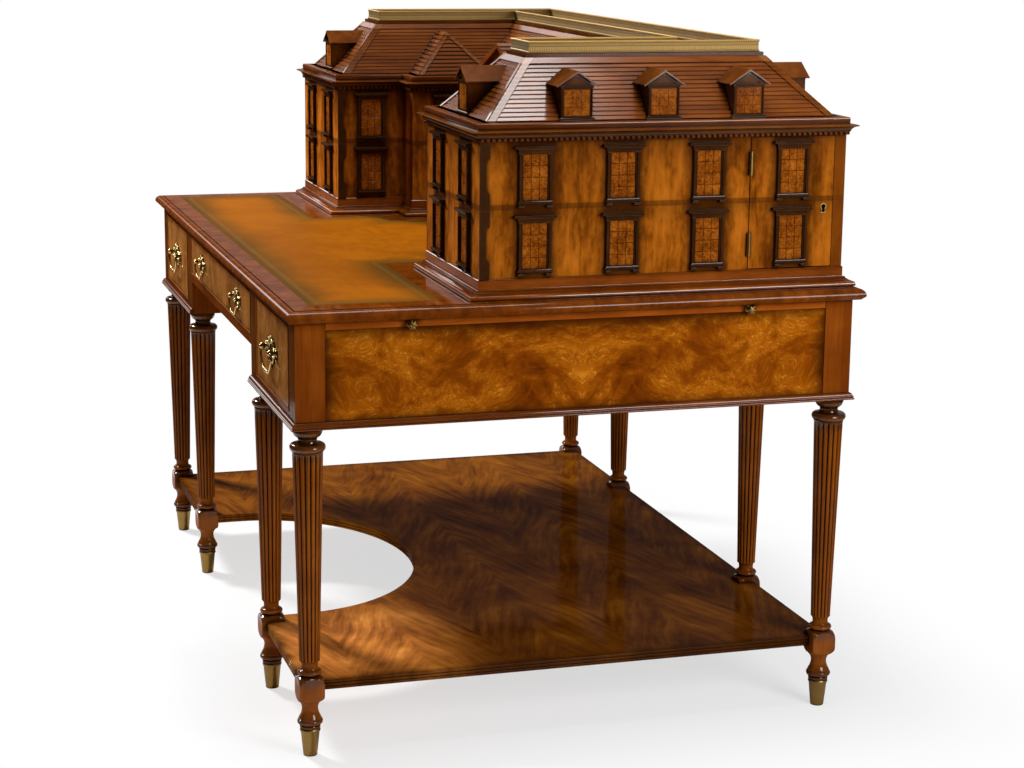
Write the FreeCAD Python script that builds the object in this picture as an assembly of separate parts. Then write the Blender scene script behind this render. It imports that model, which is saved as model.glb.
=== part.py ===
import FreeCAD, Part
import math
import os

# Captain's desk with a mansion-shaped superstructure, in millimetres.
# X is the width, Y the depth with the sitter's front at -Y, Z up from the floor.

Vector = FreeCAD.Vector
up = Vector(0, 0, 1)
os.makedirs("parts", exist_ok=True)

# Shared allowances
overrun = 30.0
slide_clearance = 0.3
drawer_gap = 1.0
door_gap = 1.0
pin_clearance = 0.05

# Desk as a whole
top_width = 1524.0
top_depth = 1016.0
desk_height = 768.0
top_thickness = 20.0
frieze_height = 178.5
frieze_inset_side = 20.5
frieze_inset_front = 16.5

# Moulded edge of the top
edge_run = 17.0
edge_quirk = 1.6
edge_lip_drop = 10.5
edge_lip_height = 3.0
edge_undercut = 7.0
edge_bulge_share = 0.72

# Leather inset
leather_thickness = 1.5
leather_side_margin = 59.0
leather_front_margin = 49.0
leather_wing_margin = 44.0

# Carcase under the top
post_width = 50.0
inner_post_width = 56.0
kneehole_width = 688.0
panel_thickness = 18.0
panel_recess = 1.5
pedestal_rail_height = 20.5
centre_rail_height = 17.0
centre_opening_height = 79.4
rail_thickness = 20.0
dust_board_thickness = 8.0
runner_width = 18.0
moulding_height = 12.5
moulding_reach = 8.0
moulding_step = 3.0

# Brushing slides
slide_thickness = 14.0
slide_end_margin = 1.0
slide_knob_spread_share = 0.606
knob_radius = 8.5
knob_neck_radius = 4.0
knob_plate_radius = 7.0
knob_plate_thickness = 1.5
knob_reach = 17.0
knob_drop = 2.0

# Legs and brass ferrules
cap_band_height = 10.0
cap_cyma_height = 10.0
cap_neck_radius = 17.5
cap_neck_height = 7.0
collar_radius = 30.0
collar_height = 13.0
collar_fillet = 3.0
shaft_top_radius = 25.5
shaft_bottom_radius = 17.4
shaft_neck_radius = 13.6
shaft_bottom = 168.0
shaft_neck_height = 15.0
block_bead_radius = 20.5
block_bead_height = 9.0
block_top = 140.5
block_height = 42.0
block_width = 43.0
block_end_radius = 20.0
block_shoulder = 9.0
foot_waist_radius = 13.6
foot_waist_height = 20.5
foot_flare_share = 0.2
foot_ring_radius = 21.7
foot_ring_edge_radius = 19.8
foot_ring_height = 8.0
foot_cove_height = 4.0
foot_neck_radius = 16.8
foot_neck_height = 4.5
ferrule_height = 48.5
ferrule_top_radius = 16.6
ferrule_bottom_radius = 12.0
ferrule_bead_radius = 17.6
ferrule_bead_height = 5.0
ferrule_wall = 1.6
ferrule_floor = 4.0
toe_clearance = 0.15

# Undertier
undertier_top = 130.0
undertier_thickness = 17.0
undertier_reach_side = 2.0
undertier_reach_front = 12.5
cutout_straight = 77.0
cutout_depth_share = 0.593

# Drawers
drawer_front_thickness = 20.0
drawer_side_thickness = 10.0
drawer_bottom_thickness = 6.0
drawer_side_gap = 3.5
drawer_length = 430.0
drawer_side_share = 0.76

# Drawer handles
plate_width = 105.0
plate_height = 58.0
plate_thickness = 2.0
plate_lobe_share = 0.34
plate_waist_share = 0.62
post_radius = 4.7
post_length = 14.0
post_spread = 71.5
post_raise = 5.6
bail_radius = 2.1
bail_pivot_reach = 8.9
bail_pin_inset = 3.3
bail_shoulder = 10.2
bail_fall = 18.8
bail_drop = 35.7
bail_grip_width = 45.0
bail_bend = 4.7
centre_handle_share = 0.78
centre_handle_spread = 408.0

# Mansion plan
mansion_inset_side = 30.5
mansion_inset_back = 10.5
wing_width_share = 0.4754
wing_length_share = 0.6668
range_depth_share = 0.3571
pavilion_reach_share = 0.097
pavilion_setback_share = 0.147
centre_width_share = 0.2883
centre_reach_share = 0.0524
wall_thickness = 14.0

# Mansion base moulding, plinth and walls
base_reach = 20.0
base_shoulder_reach = 13.5
base_shoulder_height = 9.8
base_fillet_reach = 6.0
base_fillet_height = 13.0
base_height = 15.3
plinth_reach = 2.0
plinth_height = 18.2
wall_height = 227.5
lining_thickness = 14.0
cupboard_floor_thickness = 10.0

# Cornice and roof
dentil_reach = 3.5
dentil_height = 5.5
bed_reach = 5.5
bed_height = 7.0
cornice_reach = 16.5
cornice_lip_height = 2.5
cornice_height = 18.0
cornice_hollow_share = 0.62
weathering_height = 2.5
fascia_reach = 4.5
fascia_height = 10.0
cornice_seat = 8.0
roof_base_thickness = 18.5
eaves_step = 19.0
roof_rise = 98.5
roof_run = 93.0
slat_count = 14
slat_lap = 3.5
slope_thickness = 9.0
hip_board_width = 20.0
hip_board_thickness = 3.0
deck_thickness = 6.0
deck_lap = 0.5
gallery_inset = 5.0
gallery_height = 21.0
gallery_thickness = 2.0
gallery_rim = 3.5
gallery_rim_height = 4.0
pediment_rise = 85.0
pediment_overhang = 16.5
pediment_side_overhang = 7.0
tympanum_depth = 8.0
tympanum_share = 0.8

# Dormers
dormer_width = 55.0
dormer_eave_height = 58.0
dormer_roof_width = 75.0
dormer_roof_rise = 24.5
dormer_overhang = 6.0
dormer_pane_width = 46.0
dormer_pane_height = 45.5
dormer_pane_sill = 7.0
dormer_sill_width = 62.0
dormer_sill_height = 6.0
dormer_sill_reach = 4.0
dormer_frame_depth = 2.5
back_dormer_count = 7

# Windows of the walls
pane_width = 43.5
pane_height = 78.0
pane_thickness = 2.0
jamb_width = 6.75
jamb_depth = 6.0
hood_width = 78.0
hood_height = 5.6
hood_depth = 10.0
hood_bed_width = 67.0
hood_bed_height = 9.0
hood_bed_depth = 7.5
sill_width = 61.0
sill_height = 7.0
sill_depth = 8.5
sill_foot_width = 11.0
sill_foot_height = 4.5
lower_window_raise = 14.5
upper_window_raise = 129.0
side_window_offset = 95.5
front_window_spread_share = 0.497
inner_window_offset = 71.5
centre_window_spread_share = 0.3317
back_window_count = 8

# Quoins
quoin_width = 17.0
quoin_notch = 6.0
quoin_notch_share = 0.51
quoin_thickness = 4.0

# Doors and their brass
door_width = 156.5
stile_width = 20.5
hinge_height = 40.0
hinge_barrel_radius = 3.5
hinge_pin_radius = 1.5
hinge_leaf_width = 11.0
hinge_leaf_thickness = 0.6
hinge_joint = 1.6
hinge_knuckle_gap = 0.2
hinge_barrel_clearance = 0.1
hinge_knuckle_share = 0.3
hinge_low_centre = 43.5
hinge_high_centre = 182.5
escutcheon_width = 12.0
escutcheon_height = 19.0
escutcheon_thickness = 1.2
keyhole_radius = 2.2
keyhole_slot_width = 2.2
keyhole_slot_length = 7.0
keyhole_inset = 18.0
keyhole_raise = 102.0

# Levels worked out from the sizes above
top_underside = desk_height - top_thickness
carcase_base = top_underside - frieze_height
slot_floor = top_underside - slide_thickness - 2 * slide_clearance
frieze_x = top_width / 2 - frieze_inset_side
frieze_y = top_depth / 2 - frieze_inset_front
corner_leg_x = frieze_x - post_width / 2
leg_y = frieze_y - post_width / 2
kneehole_x = kneehole_width / 2
inner_leg_x = kneehole_x + inner_post_width / 2
inner_post_far = kneehole_x + inner_post_width
pedestal_x = frieze_x - post_width
centre_rail_top = slot_floor - centre_opening_height
post_back_y = frieze_y - post_width
base_top = desk_height + base_height
plinth_top = base_top + plinth_height
wall_top = plinth_top + wall_height
cornice_top = wall_top + cornice_height + weathering_height + fascia_height
roof_top = cornice_top + roof_rise
deck_top = roof_top + deck_thickness
roof_cot = roof_run / roof_rise

# Mansion plan lines
frieze_depth = 2 * frieze_y
outer_x = frieze_x - mansion_inset_side
back_y = frieze_y - mansion_inset_back
wing_width = outer_x * wing_width_share
front_y = back_y - frieze_depth * wing_length_share
inner_x = outer_x - wing_width
pavilion_x = inner_x - outer_x * pavilion_reach_share
pavilion_y = front_y + frieze_depth * pavilion_setback_share
range_y = back_y - frieze_depth * range_depth_share
centre_x = outer_x * centre_width_share
centre_reach = frieze_depth * centre_reach_share
centre_y = range_y - centre_reach
wing_x = (outer_x + inner_x) / 2
door_back_y = back_y - stile_width
door_front_y = door_back_y - door_width

# The handles stand past the top's front edge, and the origin is at the middle of the whole footprint.
handle_front = frieze_y + plate_thickness + post_length
origin_shift = max(handle_front - top_depth / 2, 0) / 2


def save(name, shapes):
    solids = shapes if isinstance(shapes, list) else [shapes]
    solids = [solid for shape in solids for solid in shape.Solids]
    node = Part.makeCompound(solids) if len(solids) > 1 else solids[0]
    node.translate(Vector(0, origin_shift, 0))
    node.exportStep("parts/" + name + ".step")
    print(name, len(solids), "solids, valid", all(solid.isValid() for solid in solids))


def box(x0, x1, y0, y1, z0, z1):
    low = Vector(min(x0, x1), min(y0, y1), min(z0, z1))
    return Part.makeBox(abs(x1 - x0), abs(y1 - y0), abs(z1 - z0), low)


def edges_of(steps, place):
    # A step is a point, reached by a line, or a pair of points, reached by an arc through the first.
    edges = []
    last = place(*steps[0])
    for step in steps[1:] + [steps[0]]:
        if isinstance(step[0], tuple):
            middle = place(*step[0])
            end = place(*step[1])
            edges.append(Part.Arc(last, middle, end).toShape())
        else:
            end = place(*step)
            if (end - last).Length == 0:
                continue
            edges.append(Part.makeLine(last, end))
        last = end
    return edges


def face_of(steps, place):
    return Part.Face(Part.Wire(edges_of(steps, place)))


def plan_prism(points, z0, z1):
    face = face_of([tuple(point) for point in points], lambda x, y: Vector(x, y, z0))
    return face.extrude(Vector(0, 0, z1 - z0))


def turned(steps):
    # Revolve an outline of (radius, height) points about Z.
    face = face_of(steps, lambda radius, height: Vector(radius, 0, height))
    return face.revolve(Vector(0, 0, 0), up, 360)


def polyhedron(points, faces):
    corners = [Vector(*point) for point in points]
    sides = []
    for face in faces:
        loop = [corners[index] for index in face]
        sides.append(Part.Face(Part.makePolygon(loop + [loop[0]])))
    solid = Part.Solid(Part.Shell(sides))
    if solid.Volume < 0:
        solid.reverse()
    return solid


def mirrored(shape):
    return shape.mirror(Vector(0, 0, 0), Vector(1, 0, 0))


def facing(shape, turn, x, y, z):
    # Turn a piece that was made facing -Y, then set it on its wall.
    placed = shape.copy()
    placed.rotate(Vector(0, 0, 0), up, turn)
    placed.translate(Vector(x, y, z))
    return placed


# Strips that follow a plan outline, mitred at its corners

def outward(start, end):
    along = Vector(end[0] - start[0], end[1] - start[1], 0).normalize()
    return along, Vector(along.y, -along.x, 0)


def strip(corners, index, steps):
    count = len(corners)
    before = corners[index - 1]
    start = corners[index]
    end = corners[(index + 1) % count]
    after = corners[(index + 2) % count]
    along, normal = outward(start, end)
    start_mitre = normal + outward(before, start)[1]
    end_mitre = normal + outward(end, after)[1]
    first = Vector(start[0], start[1], 0)
    last = Vector(end[0], end[1], 0)
    offsets = [point[0] for step in steps for point in (step if isinstance(step[0], tuple) else (step,))]
    low = min(offsets)
    high = max(offsets)
    reach = max(abs(low), abs(high)) + overrun
    origin = first - along * reach
    length = (last - first).Length + 2 * reach
    face = face_of(steps, lambda offset, height: origin + normal * offset + up * height)
    bar = face.extrude(along * length)
    heights = [point[1] for step in steps for point in (step if isinstance(step[0], tuple) else (step,))]
    plan = [first + start_mitre * low, last + end_mitre * low,
            last + end_mitre * high, first + start_mitre * high]
    trim = plan_prism([(point.x, point.y) for point in plan], min(heights) - overrun, max(heights) + overrun)
    return bar.common(trim).Solids[0]


house = [(outer_x, front_y), (outer_x, back_y), (-outer_x, back_y), (-outer_x, front_y), (-inner_x, front_y),
         (-inner_x, pavilion_y), (-pavilion_x, pavilion_y), (-pavilion_x, range_y), (-centre_x, range_y),
         (-centre_x, centre_y), (centre_x, centre_y), (centre_x, range_y), (pavilion_x, range_y),
         (pavilion_x, pavilion_y), (inner_x, pavilion_y), (inner_x, front_y)]
main_block = [(outer_x, front_y), (outer_x, back_y), (-outer_x, back_y), (-outer_x, front_y),
              (-inner_x, front_y), (-inner_x, range_y), (inner_x, range_y), (inner_x, front_y)]


# Legs

def leg_turning():
    cap_top = carcase_base - cap_band_height
    cyma_end = cap_top - cap_cyma_height
    collar_top = cyma_end - cap_neck_height
    collar_end = collar_top - collar_height
    shaft_top = collar_end - collar_fillet
    neck_end = shaft_bottom - shaft_neck_height
    bead_end = neck_end - block_bead_height
    return turned([
        (0, carcase_base), (post_width / 2, carcase_base), (post_width / 2, cap_top),
        ((post_width / 2 - (post_width / 2 - cap_neck_radius) / 4, cap_top - cap_cyma_height / 2),
         (cap_neck_radius, cyma_end)),
        (cap_neck_radius, collar_top), (shaft_top_radius, collar_top),
        ((collar_radius, (collar_top + collar_end) / 2), (shaft_top_radius, collar_end)),
        (shaft_top_radius, shaft_top), (shaft_bottom_radius, shaft_bottom),
        (shaft_neck_radius, (shaft_bottom + neck_end) / 2), (shaft_neck_radius, neck_end),
        ((block_bead_radius, (neck_end + bead_end) / 2), (shaft_neck_radius, bead_end)),
        (shaft_neck_radius, block_top), (0, block_top)])


def leg_foot():
    block_bottom = block_top - block_height
    foot_neck = ferrule_height + foot_neck_height
    ring_bottom = foot_neck + foot_cove_height
    ring_top = ring_bottom + foot_ring_height
    foot_waist = ring_top + foot_waist_height
    toe_top = ferrule_top_radius - ferrule_wall - toe_clearance
    toe_end = ferrule_bottom_radius - ferrule_wall - toe_clearance
    toe_bottom = ferrule_floor + toe_clearance
    flare = (foot_waist_radius + (foot_ring_edge_radius - foot_waist_radius) * foot_flare_share,
             (foot_waist + ring_top) / 2)
    ring_bulge = (foot_ring_radius, ring_bottom + foot_ring_height / 2)
    return turned([
        (0, block_bottom), (block_end_radius, block_bottom), (foot_waist_radius, foot_waist),
        (flare, (foot_ring_edge_radius, ring_top)), (ring_bulge, (foot_ring_edge_radius, ring_bottom)),
        (foot_neck_radius, foot_neck), (foot_neck_radius, ferrule_height), (toe_top, ferrule_height),
        (toe_end, toe_bottom), (0, toe_bottom)])


def leg_block():
    # A square block whose corners are turned away at both ends.
    half = block_width / 2
    block_bottom = block_top - block_height
    corner_radius = half * math.sqrt(2)
    square = box(-half, half, -half, half, block_bottom, block_top)
    barrel = turned([
        (0, block_bottom), (block_end_radius, block_bottom), (corner_radius, block_bottom + block_shoulder),
        (corner_radius, block_top - block_shoulder), (block_end_radius, block_top), (0, block_top)])
    return square.common(barrel)


def leg(x, y):
    turning = leg_turning().multiFuse([leg_foot(), leg_block()]).removeSplitter()
    turning.translate(Vector(x, y, 0))
    return turning


def ferrule(x, y):
    bead_bottom = ferrule_height - ferrule_bead_height
    cup = turned([
        (0, 0), (ferrule_bottom_radius, 0), (ferrule_top_radius, bead_bottom),
        ((ferrule_bead_radius, bead_bottom + ferrule_bead_height / 2), (ferrule_top_radius, ferrule_height)),
        (ferrule_top_radius - ferrule_wall, ferrule_height),
        (ferrule_bottom_radius - ferrule_wall, ferrule_floor), (0, ferrule_floor)])
    cup.translate(Vector(x, y, 0))
    return cup


leg_places = []
for side_name, side in (("left", -1), ("right", 1)):
    for end_name, end in (("front", -1), ("back", 1)):
        leg_places.append(("leg_" + end_name + "_" + side_name, side * corner_leg_x, end * leg_y,
                           side * pedestal_x, side * frieze_x))
        leg_places.append(("leg_" + end_name + "_inner_" + side_name, side * inner_leg_x, end * leg_y,
                           side * kneehole_x, side * inner_post_far))
for name, x, y, post_x0, post_x1 in leg_places:
    save(name, leg(x, y))
save("brass_ferrules", [ferrule(x, y) for name, x, y, post_x0, post_x1 in leg_places])
save("frieze_posts", [box(post_x0, post_x1, y - post_width / 2, y + post_width / 2,
                          carcase_base, top_underside) for name, x, y, post_x0, post_x1 in leg_places])


# Undertier with the rounded kneehole cut-out

def undertier():
    half_x = corner_leg_x + undertier_reach_side
    half_y = leg_y + undertier_reach_front
    bottom = undertier_top - undertier_thickness
    board = box(-half_x, half_x, -half_y, half_y, bottom, undertier_top)
    cut_x = inner_leg_x - block_width / 2
    cut_y = cutout_straight - half_y
    cutout_depth = half_y * cutout_depth_share
    bow = Part.Ellipse(Vector(0, cut_y, bottom - overrun), max(cut_x, cutout_depth), min(cut_x, cutout_depth))
    if cutout_depth > cut_x:
        bow.rotate(FreeCAD.Placement(Vector(0, 0, 0), FreeCAD.Rotation(up, 90), Vector(0, cut_y, 0)))
    rounded = Part.Face(Part.Wire(bow.toShape())).extrude(Vector(0, 0, undertier_thickness + 2 * overrun))
    straight = box(-cut_x, cut_x, -half_y - overrun, cut_y, bottom - overrun, undertier_top + overrun)
    board = board.cut(rounded.fuse(straight))
    half = block_width / 2
    for name, x, y, post_x0, post_x1 in leg_places:
        notch = box(x - half, x + half, y - half, y + half, bottom - overrun, undertier_top + overrun)
        board = board.cut(notch)
    return board


save("undertier", undertier())


# Carcase

panel_x = frieze_x - panel_recess
panel_y = frieze_y - panel_recess
rail_back_y = -frieze_y + rail_thickness
pedestal_floor = carcase_base + pedestal_rail_height
for side_name, side in (("left", -1), ("right", 1)):
    save("side_panel_" + side_name, box(side * (panel_x - panel_thickness), side * panel_x,
                                        -post_back_y, post_back_y, carcase_base, slot_floor))

kneehole_sides = []
back_panels = []
dust_boards = []
front_rails = []
for side in (-1, 1):
    inner_face = side * (kneehole_x + panel_thickness)
    kneehole_sides.append(box(side * kneehole_x, inner_face, -post_back_y, post_back_y,
                              carcase_base, slot_floor))
    back_panels.append(box(side * inner_post_far, side * pedestal_x, panel_y - panel_thickness, panel_y,
                           carcase_base, top_underside))
    dust_boards.append(box(inner_face, side * (panel_x - panel_thickness), -post_back_y, post_back_y,
                           pedestal_floor - dust_board_thickness, pedestal_floor))
    dust_boards.append(box(side * kneehole_x, side * (kneehole_x - runner_width), -post_back_y, post_back_y,
                           centre_rail_top - centre_rail_height, centre_rail_top))
    front_rails.append(box(side * inner_post_far, side * pedestal_x, -frieze_y, rail_back_y,
                           slot_floor, top_underside))
    front_rails.append(box(side * inner_post_far, side * pedestal_x, -frieze_y, rail_back_y,
                           carcase_base, pedestal_floor))
front_rails.append(box(-kneehole_x, kneehole_x, -frieze_y, rail_back_y, slot_floor, top_underside))
front_rails.append(box(-kneehole_x, kneehole_x, -frieze_y, rail_back_y,
                       centre_rail_top - centre_rail_height, centre_rail_top))
back_panels.append(box(-kneehole_x, kneehole_x, panel_y - panel_thickness, panel_y,
                       centre_rail_top - centre_rail_height, top_underside))
save("kneehole_sides", kneehole_sides)
save("back_panels", back_panels)
save("drawer_runners", dust_boards)
save("front_rails", front_rails)


def carcase_moulding():
    # A base moulding round the outside of each pedestal, cut square at the kneehole.
    steps = [(0, carcase_base), (moulding_reach - moulding_step, carcase_base),
             ((moulding_reach - moulding_step / 3, carcase_base + moulding_height / 4),
              (moulding_reach, carcase_base + moulding_height / 2)),
             (moulding_reach, carcase_base + moulding_height - moulding_step),
             (moulding_reach - moulding_step, carcase_base + moulding_height),
             (0, carcase_base + moulding_height)]
    pieces = []
    around = [(frieze_x, -frieze_y), (frieze_x, frieze_y), (-frieze_x, frieze_y), (-frieze_x, -frieze_y)]
    kneehole = box(-kneehole_x, kneehole_x, -top_depth, top_depth, 0, desk_height)
    for index in range(len(around)):
        pieces.extend(strip(around, index, steps).cut(kneehole).Solids)
    return pieces


save("base_mouldings", carcase_moulding())


# Top and leather

def leather_outline():
    side = top_width / 2 - leather_side_margin
    front = -top_depth / 2 + leather_front_margin
    margin = base_reach + leather_wing_margin
    half = [(side, front), (side, front_y - margin), (inner_x - margin, front_y - margin),
            (inner_x - margin, pavilion_y - margin), (pavilion_x - margin, pavilion_y - margin),
            (pavilion_x - margin, centre_y - margin)]
    return half + [(-x, y) for x, y in reversed(half)]


def desk_top():
    half_x = top_width / 2
    half_y = top_depth / 2
    lip = desk_height - edge_lip_drop
    bulge = (-edge_run * (1 - edge_bulge_share), desk_height - edge_lip_drop * (1 - edge_bulge_share))
    steps = [(-edge_run, desk_height), (-edge_run, desk_height - edge_quirk), (bulge, (0, lip)),
             (0, lip - edge_lip_height), (-edge_undercut, top_underside),
             (-edge_undercut - edge_run, top_underside), (-edge_undercut - edge_run, desk_height)]
    around = [(half_x, -half_y), (half_x, half_y), (-half_x, half_y), (-half_x, -half_y)]
    rim = [strip(around, index, steps) for index in range(len(around))]
    inside = edge_undercut + edge_run
    slab = box(inside - half_x, half_x - inside, inside - half_y, half_y - inside, top_underside, desk_height)
    slab = slab.multiFuse(rim).removeSplitter()
    return slab.cut(plan_prism(leather_outline(), desk_height - leather_thickness, desk_height + overrun))


save("desk_top", desk_top())
save("leather_inset", plan_prism(leather_outline(), desk_height - leather_thickness, desk_height))


# Drawers

def drawer(x0, x1, z0, z1):
    front_y0 = -frieze_y
    front_y1 = front_y0 + drawer_front_thickness
    front = box(x0 + drawer_gap, x1 - drawer_gap, front_y0, front_y1, z0 + drawer_gap, z1 - drawer_gap)
    left = x0 + drawer_side_gap
    right = x1 - drawer_side_gap
    bottom = z0 + slide_clearance
    top = bottom + (z1 - z0) * drawer_side_share
    back = front_y1 + drawer_length
    inside_left = left + drawer_side_thickness
    inside_right = right - drawer_side_thickness
    inside_back = back - drawer_side_thickness
    boards = [
        box(left, inside_left, front_y1, back, bottom, top),
        box(inside_right, right, front_y1, back, bottom, top),
        box(inside_left, inside_right, inside_back, back, bottom, top),
        box(inside_left, inside_right, front_y1, inside_back, bottom, bottom + drawer_bottom_thickness)]
    return front, boards


# Handles: a shaped plate with two pierced posts, and a bail that swings in them, smaller on the centre drawer

def handle_plate(share=1):
    half_w = share * plate_width / 2
    half_h = share * plate_height / 2
    lobe_w = half_w * plate_lobe_share
    waist = half_h * plate_waist_share
    side_w = half_w - lobe_w / 2
    side_h = waist * plate_waist_share
    steps = [(-half_w, 0), ((-side_w, side_h), (-lobe_w, waist)), ((0, half_h), (lobe_w, waist)),
             ((side_w, side_h), (half_w, 0)), ((side_w, -side_h), (lobe_w, -waist)),
             ((0, -half_h), (-lobe_w, -waist)), ((-side_w, -side_h), (-half_w, 0))]
    plate = face_of(steps, lambda across, height: Vector(across, 0, height))
    plate = plate.extrude(Vector(0, -plate_thickness, 0))
    for side in (-1, 1):
        foot = Vector(side * share * post_spread / 2, -plate_thickness, share * post_raise)
        radius = share * post_radius
        post = Part.makeCylinder(radius, share * post_length, foot, Vector(0, -1, 0))
        start = foot + Vector(-radius - overrun / 2, -share * bail_pivot_reach, 0)
        length = 2 * radius + overrun
        hole = Part.makeCylinder(share * bail_radius + pin_clearance, length, start, Vector(1, 0, 0))
        plate = plate.fuse(post.cut(hole))
    return plate


def rounded_path(points, radius):
    edges = []
    last = points[0]
    for before, corner, after in zip(points, points[1:], points[2:]):
        back = (before - corner).normalize()
        on = (after - corner).normalize()
        half_turn = math.acos(max(-1, min(1, back.dot(on)))) / 2
        inset = radius / math.tan(half_turn)
        middle_dir = (back + on).normalize()
        centre = corner + middle_dir * (radius / math.sin(half_turn))
        start = corner + back * inset
        end = corner + on * inset
        edges.append(Part.makeLine(last, start))
        edges.append(Part.Arc(start, centre - middle_dir * radius, end).toShape())
        last = end
    edges.append(Part.makeLine(last, points[-1]))
    return Part.Wire(edges)


def bail(share=1):
    depth = -plate_thickness - share * bail_pivot_reach
    pin = post_spread / 2 - bail_pin_inset
    shoulder = post_spread / 2 + bail_shoulder
    grip = bail_grip_width / 2
    half = [(pin, 0), (shoulder, 0), (shoulder, -bail_fall), (grip, -bail_drop)]
    half = [(share * across, share * (post_raise + height)) for across, height in half]
    points = [Vector(-across, depth, height) for across, height in half]
    points += [Vector(across, depth, height) for across, height in reversed(half)]
    path = rounded_path(points, share * bail_bend)
    ring = Part.Wire(Part.makeCircle(share * bail_radius, points[0], Vector(1, 0, 0)))
    return path.makePipeShell([ring], True, False)


pedestal_centre = (inner_post_far + pedestal_x) / 2
pedestal_handle_z = (pedestal_floor + slot_floor) / 2
centre_handle_z = (centre_rail_top + slot_floor) / 2
for side_name, side in (("left", -1), ("right", 1)):
    near = min(side * inner_post_far, side * pedestal_x)
    far = max(side * inner_post_far, side * pedestal_x)
    front, boards = drawer(near, far, pedestal_floor, slot_floor)
    save("drawer_front_" + side_name, front)
    save("drawer_box_" + side_name, boards)
    handle_place = (0, side * pedestal_centre, -frieze_y, pedestal_handle_z)
    save("handle_plate_" + side_name, facing(handle_plate(), *handle_place))
    save("bail_" + side_name, facing(bail(), *handle_place))
front, boards = drawer(-kneehole_x, kneehole_x, centre_rail_top, slot_floor)
save("drawer_front_centre", front)
save("drawer_box_centre", boards)
centre_places = [(0, side * centre_handle_spread / 2, -frieze_y, centre_handle_z) for side in (-1, 1)]
save("handle_plates_centre", [facing(handle_plate(centre_handle_share), *place) for place in centre_places])
for side_name, place in zip(("left", "right"), centre_places):
    save("bail_centre_" + side_name, facing(bail(centre_handle_share), *place))


# Brushing slides, pulled out sideways from under the top

def knob():
    steps = [(0, 0), (knob_plate_radius, 0), (knob_plate_radius, knob_plate_thickness),
             (knob_neck_radius, knob_plate_thickness), (knob_neck_radius, knob_reach - 2 * knob_neck_radius),
             ((knob_radius, knob_reach - knob_neck_radius), (knob_neck_radius, knob_reach)), (0, knob_reach)]
    shape = turned(steps)
    shape.rotate(Vector(0, 0, 0), Vector(0, 1, 0), 90)
    return shape


slide_bottom = slot_floor + slide_clearance
for side_name, side in (("left", -1), ("right", 1)):
    slide_y = post_back_y - slide_end_margin
    knob_y = frieze_y * slide_knob_spread_share
    save("slide_" + side_name, box(side * kneehole_x, side * frieze_x, -slide_y, slide_y,
                                   slide_bottom, slide_bottom + slide_thickness))
    knobs = []
    for end in (-1, 1):
        piece = knob()
        piece.translate(Vector(frieze_x, end * knob_y, slide_bottom + slide_thickness / 2 - knob_drop))
        knobs.append(piece if side > 0 else mirrored(piece))
    save("slide_knobs_" + side_name, knobs)


# Mansion base, walls and cornice

base_steps = [(-wall_thickness, desk_height), (base_reach, desk_height),
              ((base_reach - (base_reach - base_shoulder_reach) / 4, desk_height + base_shoulder_height / 2),
               (base_shoulder_reach, desk_height + base_shoulder_height)),
              (base_fillet_reach, desk_height + base_fillet_height), (base_fillet_reach, base_top),
              (plinth_reach, base_top), (plinth_reach, plinth_top), (-wall_thickness, plinth_top)]
wall_steps = [(-wall_thickness, plinth_top), (0, plinth_top), (0, wall_top), (-wall_thickness, wall_top)]
lip_top = wall_top + cornice_height
lip_bottom = lip_top - cornice_lip_height
fascia_bottom = lip_top + weathering_height
hollow = (bed_reach + (cornice_reach - bed_reach) * (1 - cornice_hollow_share),
          wall_top + bed_height + (lip_bottom - wall_top - bed_height) * cornice_hollow_share)
cornice_steps = [(-cornice_seat, wall_top), (dentil_reach, wall_top),
                 (dentil_reach, wall_top + dentil_height), (bed_reach, wall_top + dentil_height),
                 (bed_reach, wall_top + bed_height), (hollow, (cornice_reach, lip_bottom)),
                 (cornice_reach, lip_top), (fascia_reach, fascia_bottom),
                 (fascia_reach, cornice_top), (-cornice_seat, cornice_top)]
sides = range(len(house))
save("mansion_base", [strip(house, index, base_steps) for index in sides])
save("cornice", [strip(house, index, cornice_steps) for index in sides])

wall_strips = [strip(house, index, wall_steps) for index in sides]
doorway = box(outer_x + overrun, outer_x - wall_thickness - overrun, door_front_y, door_back_y,
              plinth_top, wall_top)
side_wall = wall_strips[0].cut(doorway)
save("wing_walls", [side_wall, mirrored(side_wall)] + wall_strips[3:5] + wall_strips[14:])
save("courtyard_walls", wall_strips[5:14])
save("back_wall", wall_strips[1])

linings = []
for side in (-1, 1):
    near = side * (inner_x + wall_thickness)
    far = side * (outer_x - wall_thickness)
    lined = near + side * lining_thickness
    inside_back = back_y - wall_thickness
    linings.append(box(near, far, door_front_y - lining_thickness, door_front_y, desk_height, wall_top))
    linings.append(box(near, lined, door_front_y, inside_back, desk_height, wall_top))
    linings.append(box(lined, far, door_front_y, inside_back,
                       plinth_top - cupboard_floor_thickness, plinth_top))
save("cupboard_linings", linings)


# Roof boards: the eaves board on the cornice, and the deck at the top

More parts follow.
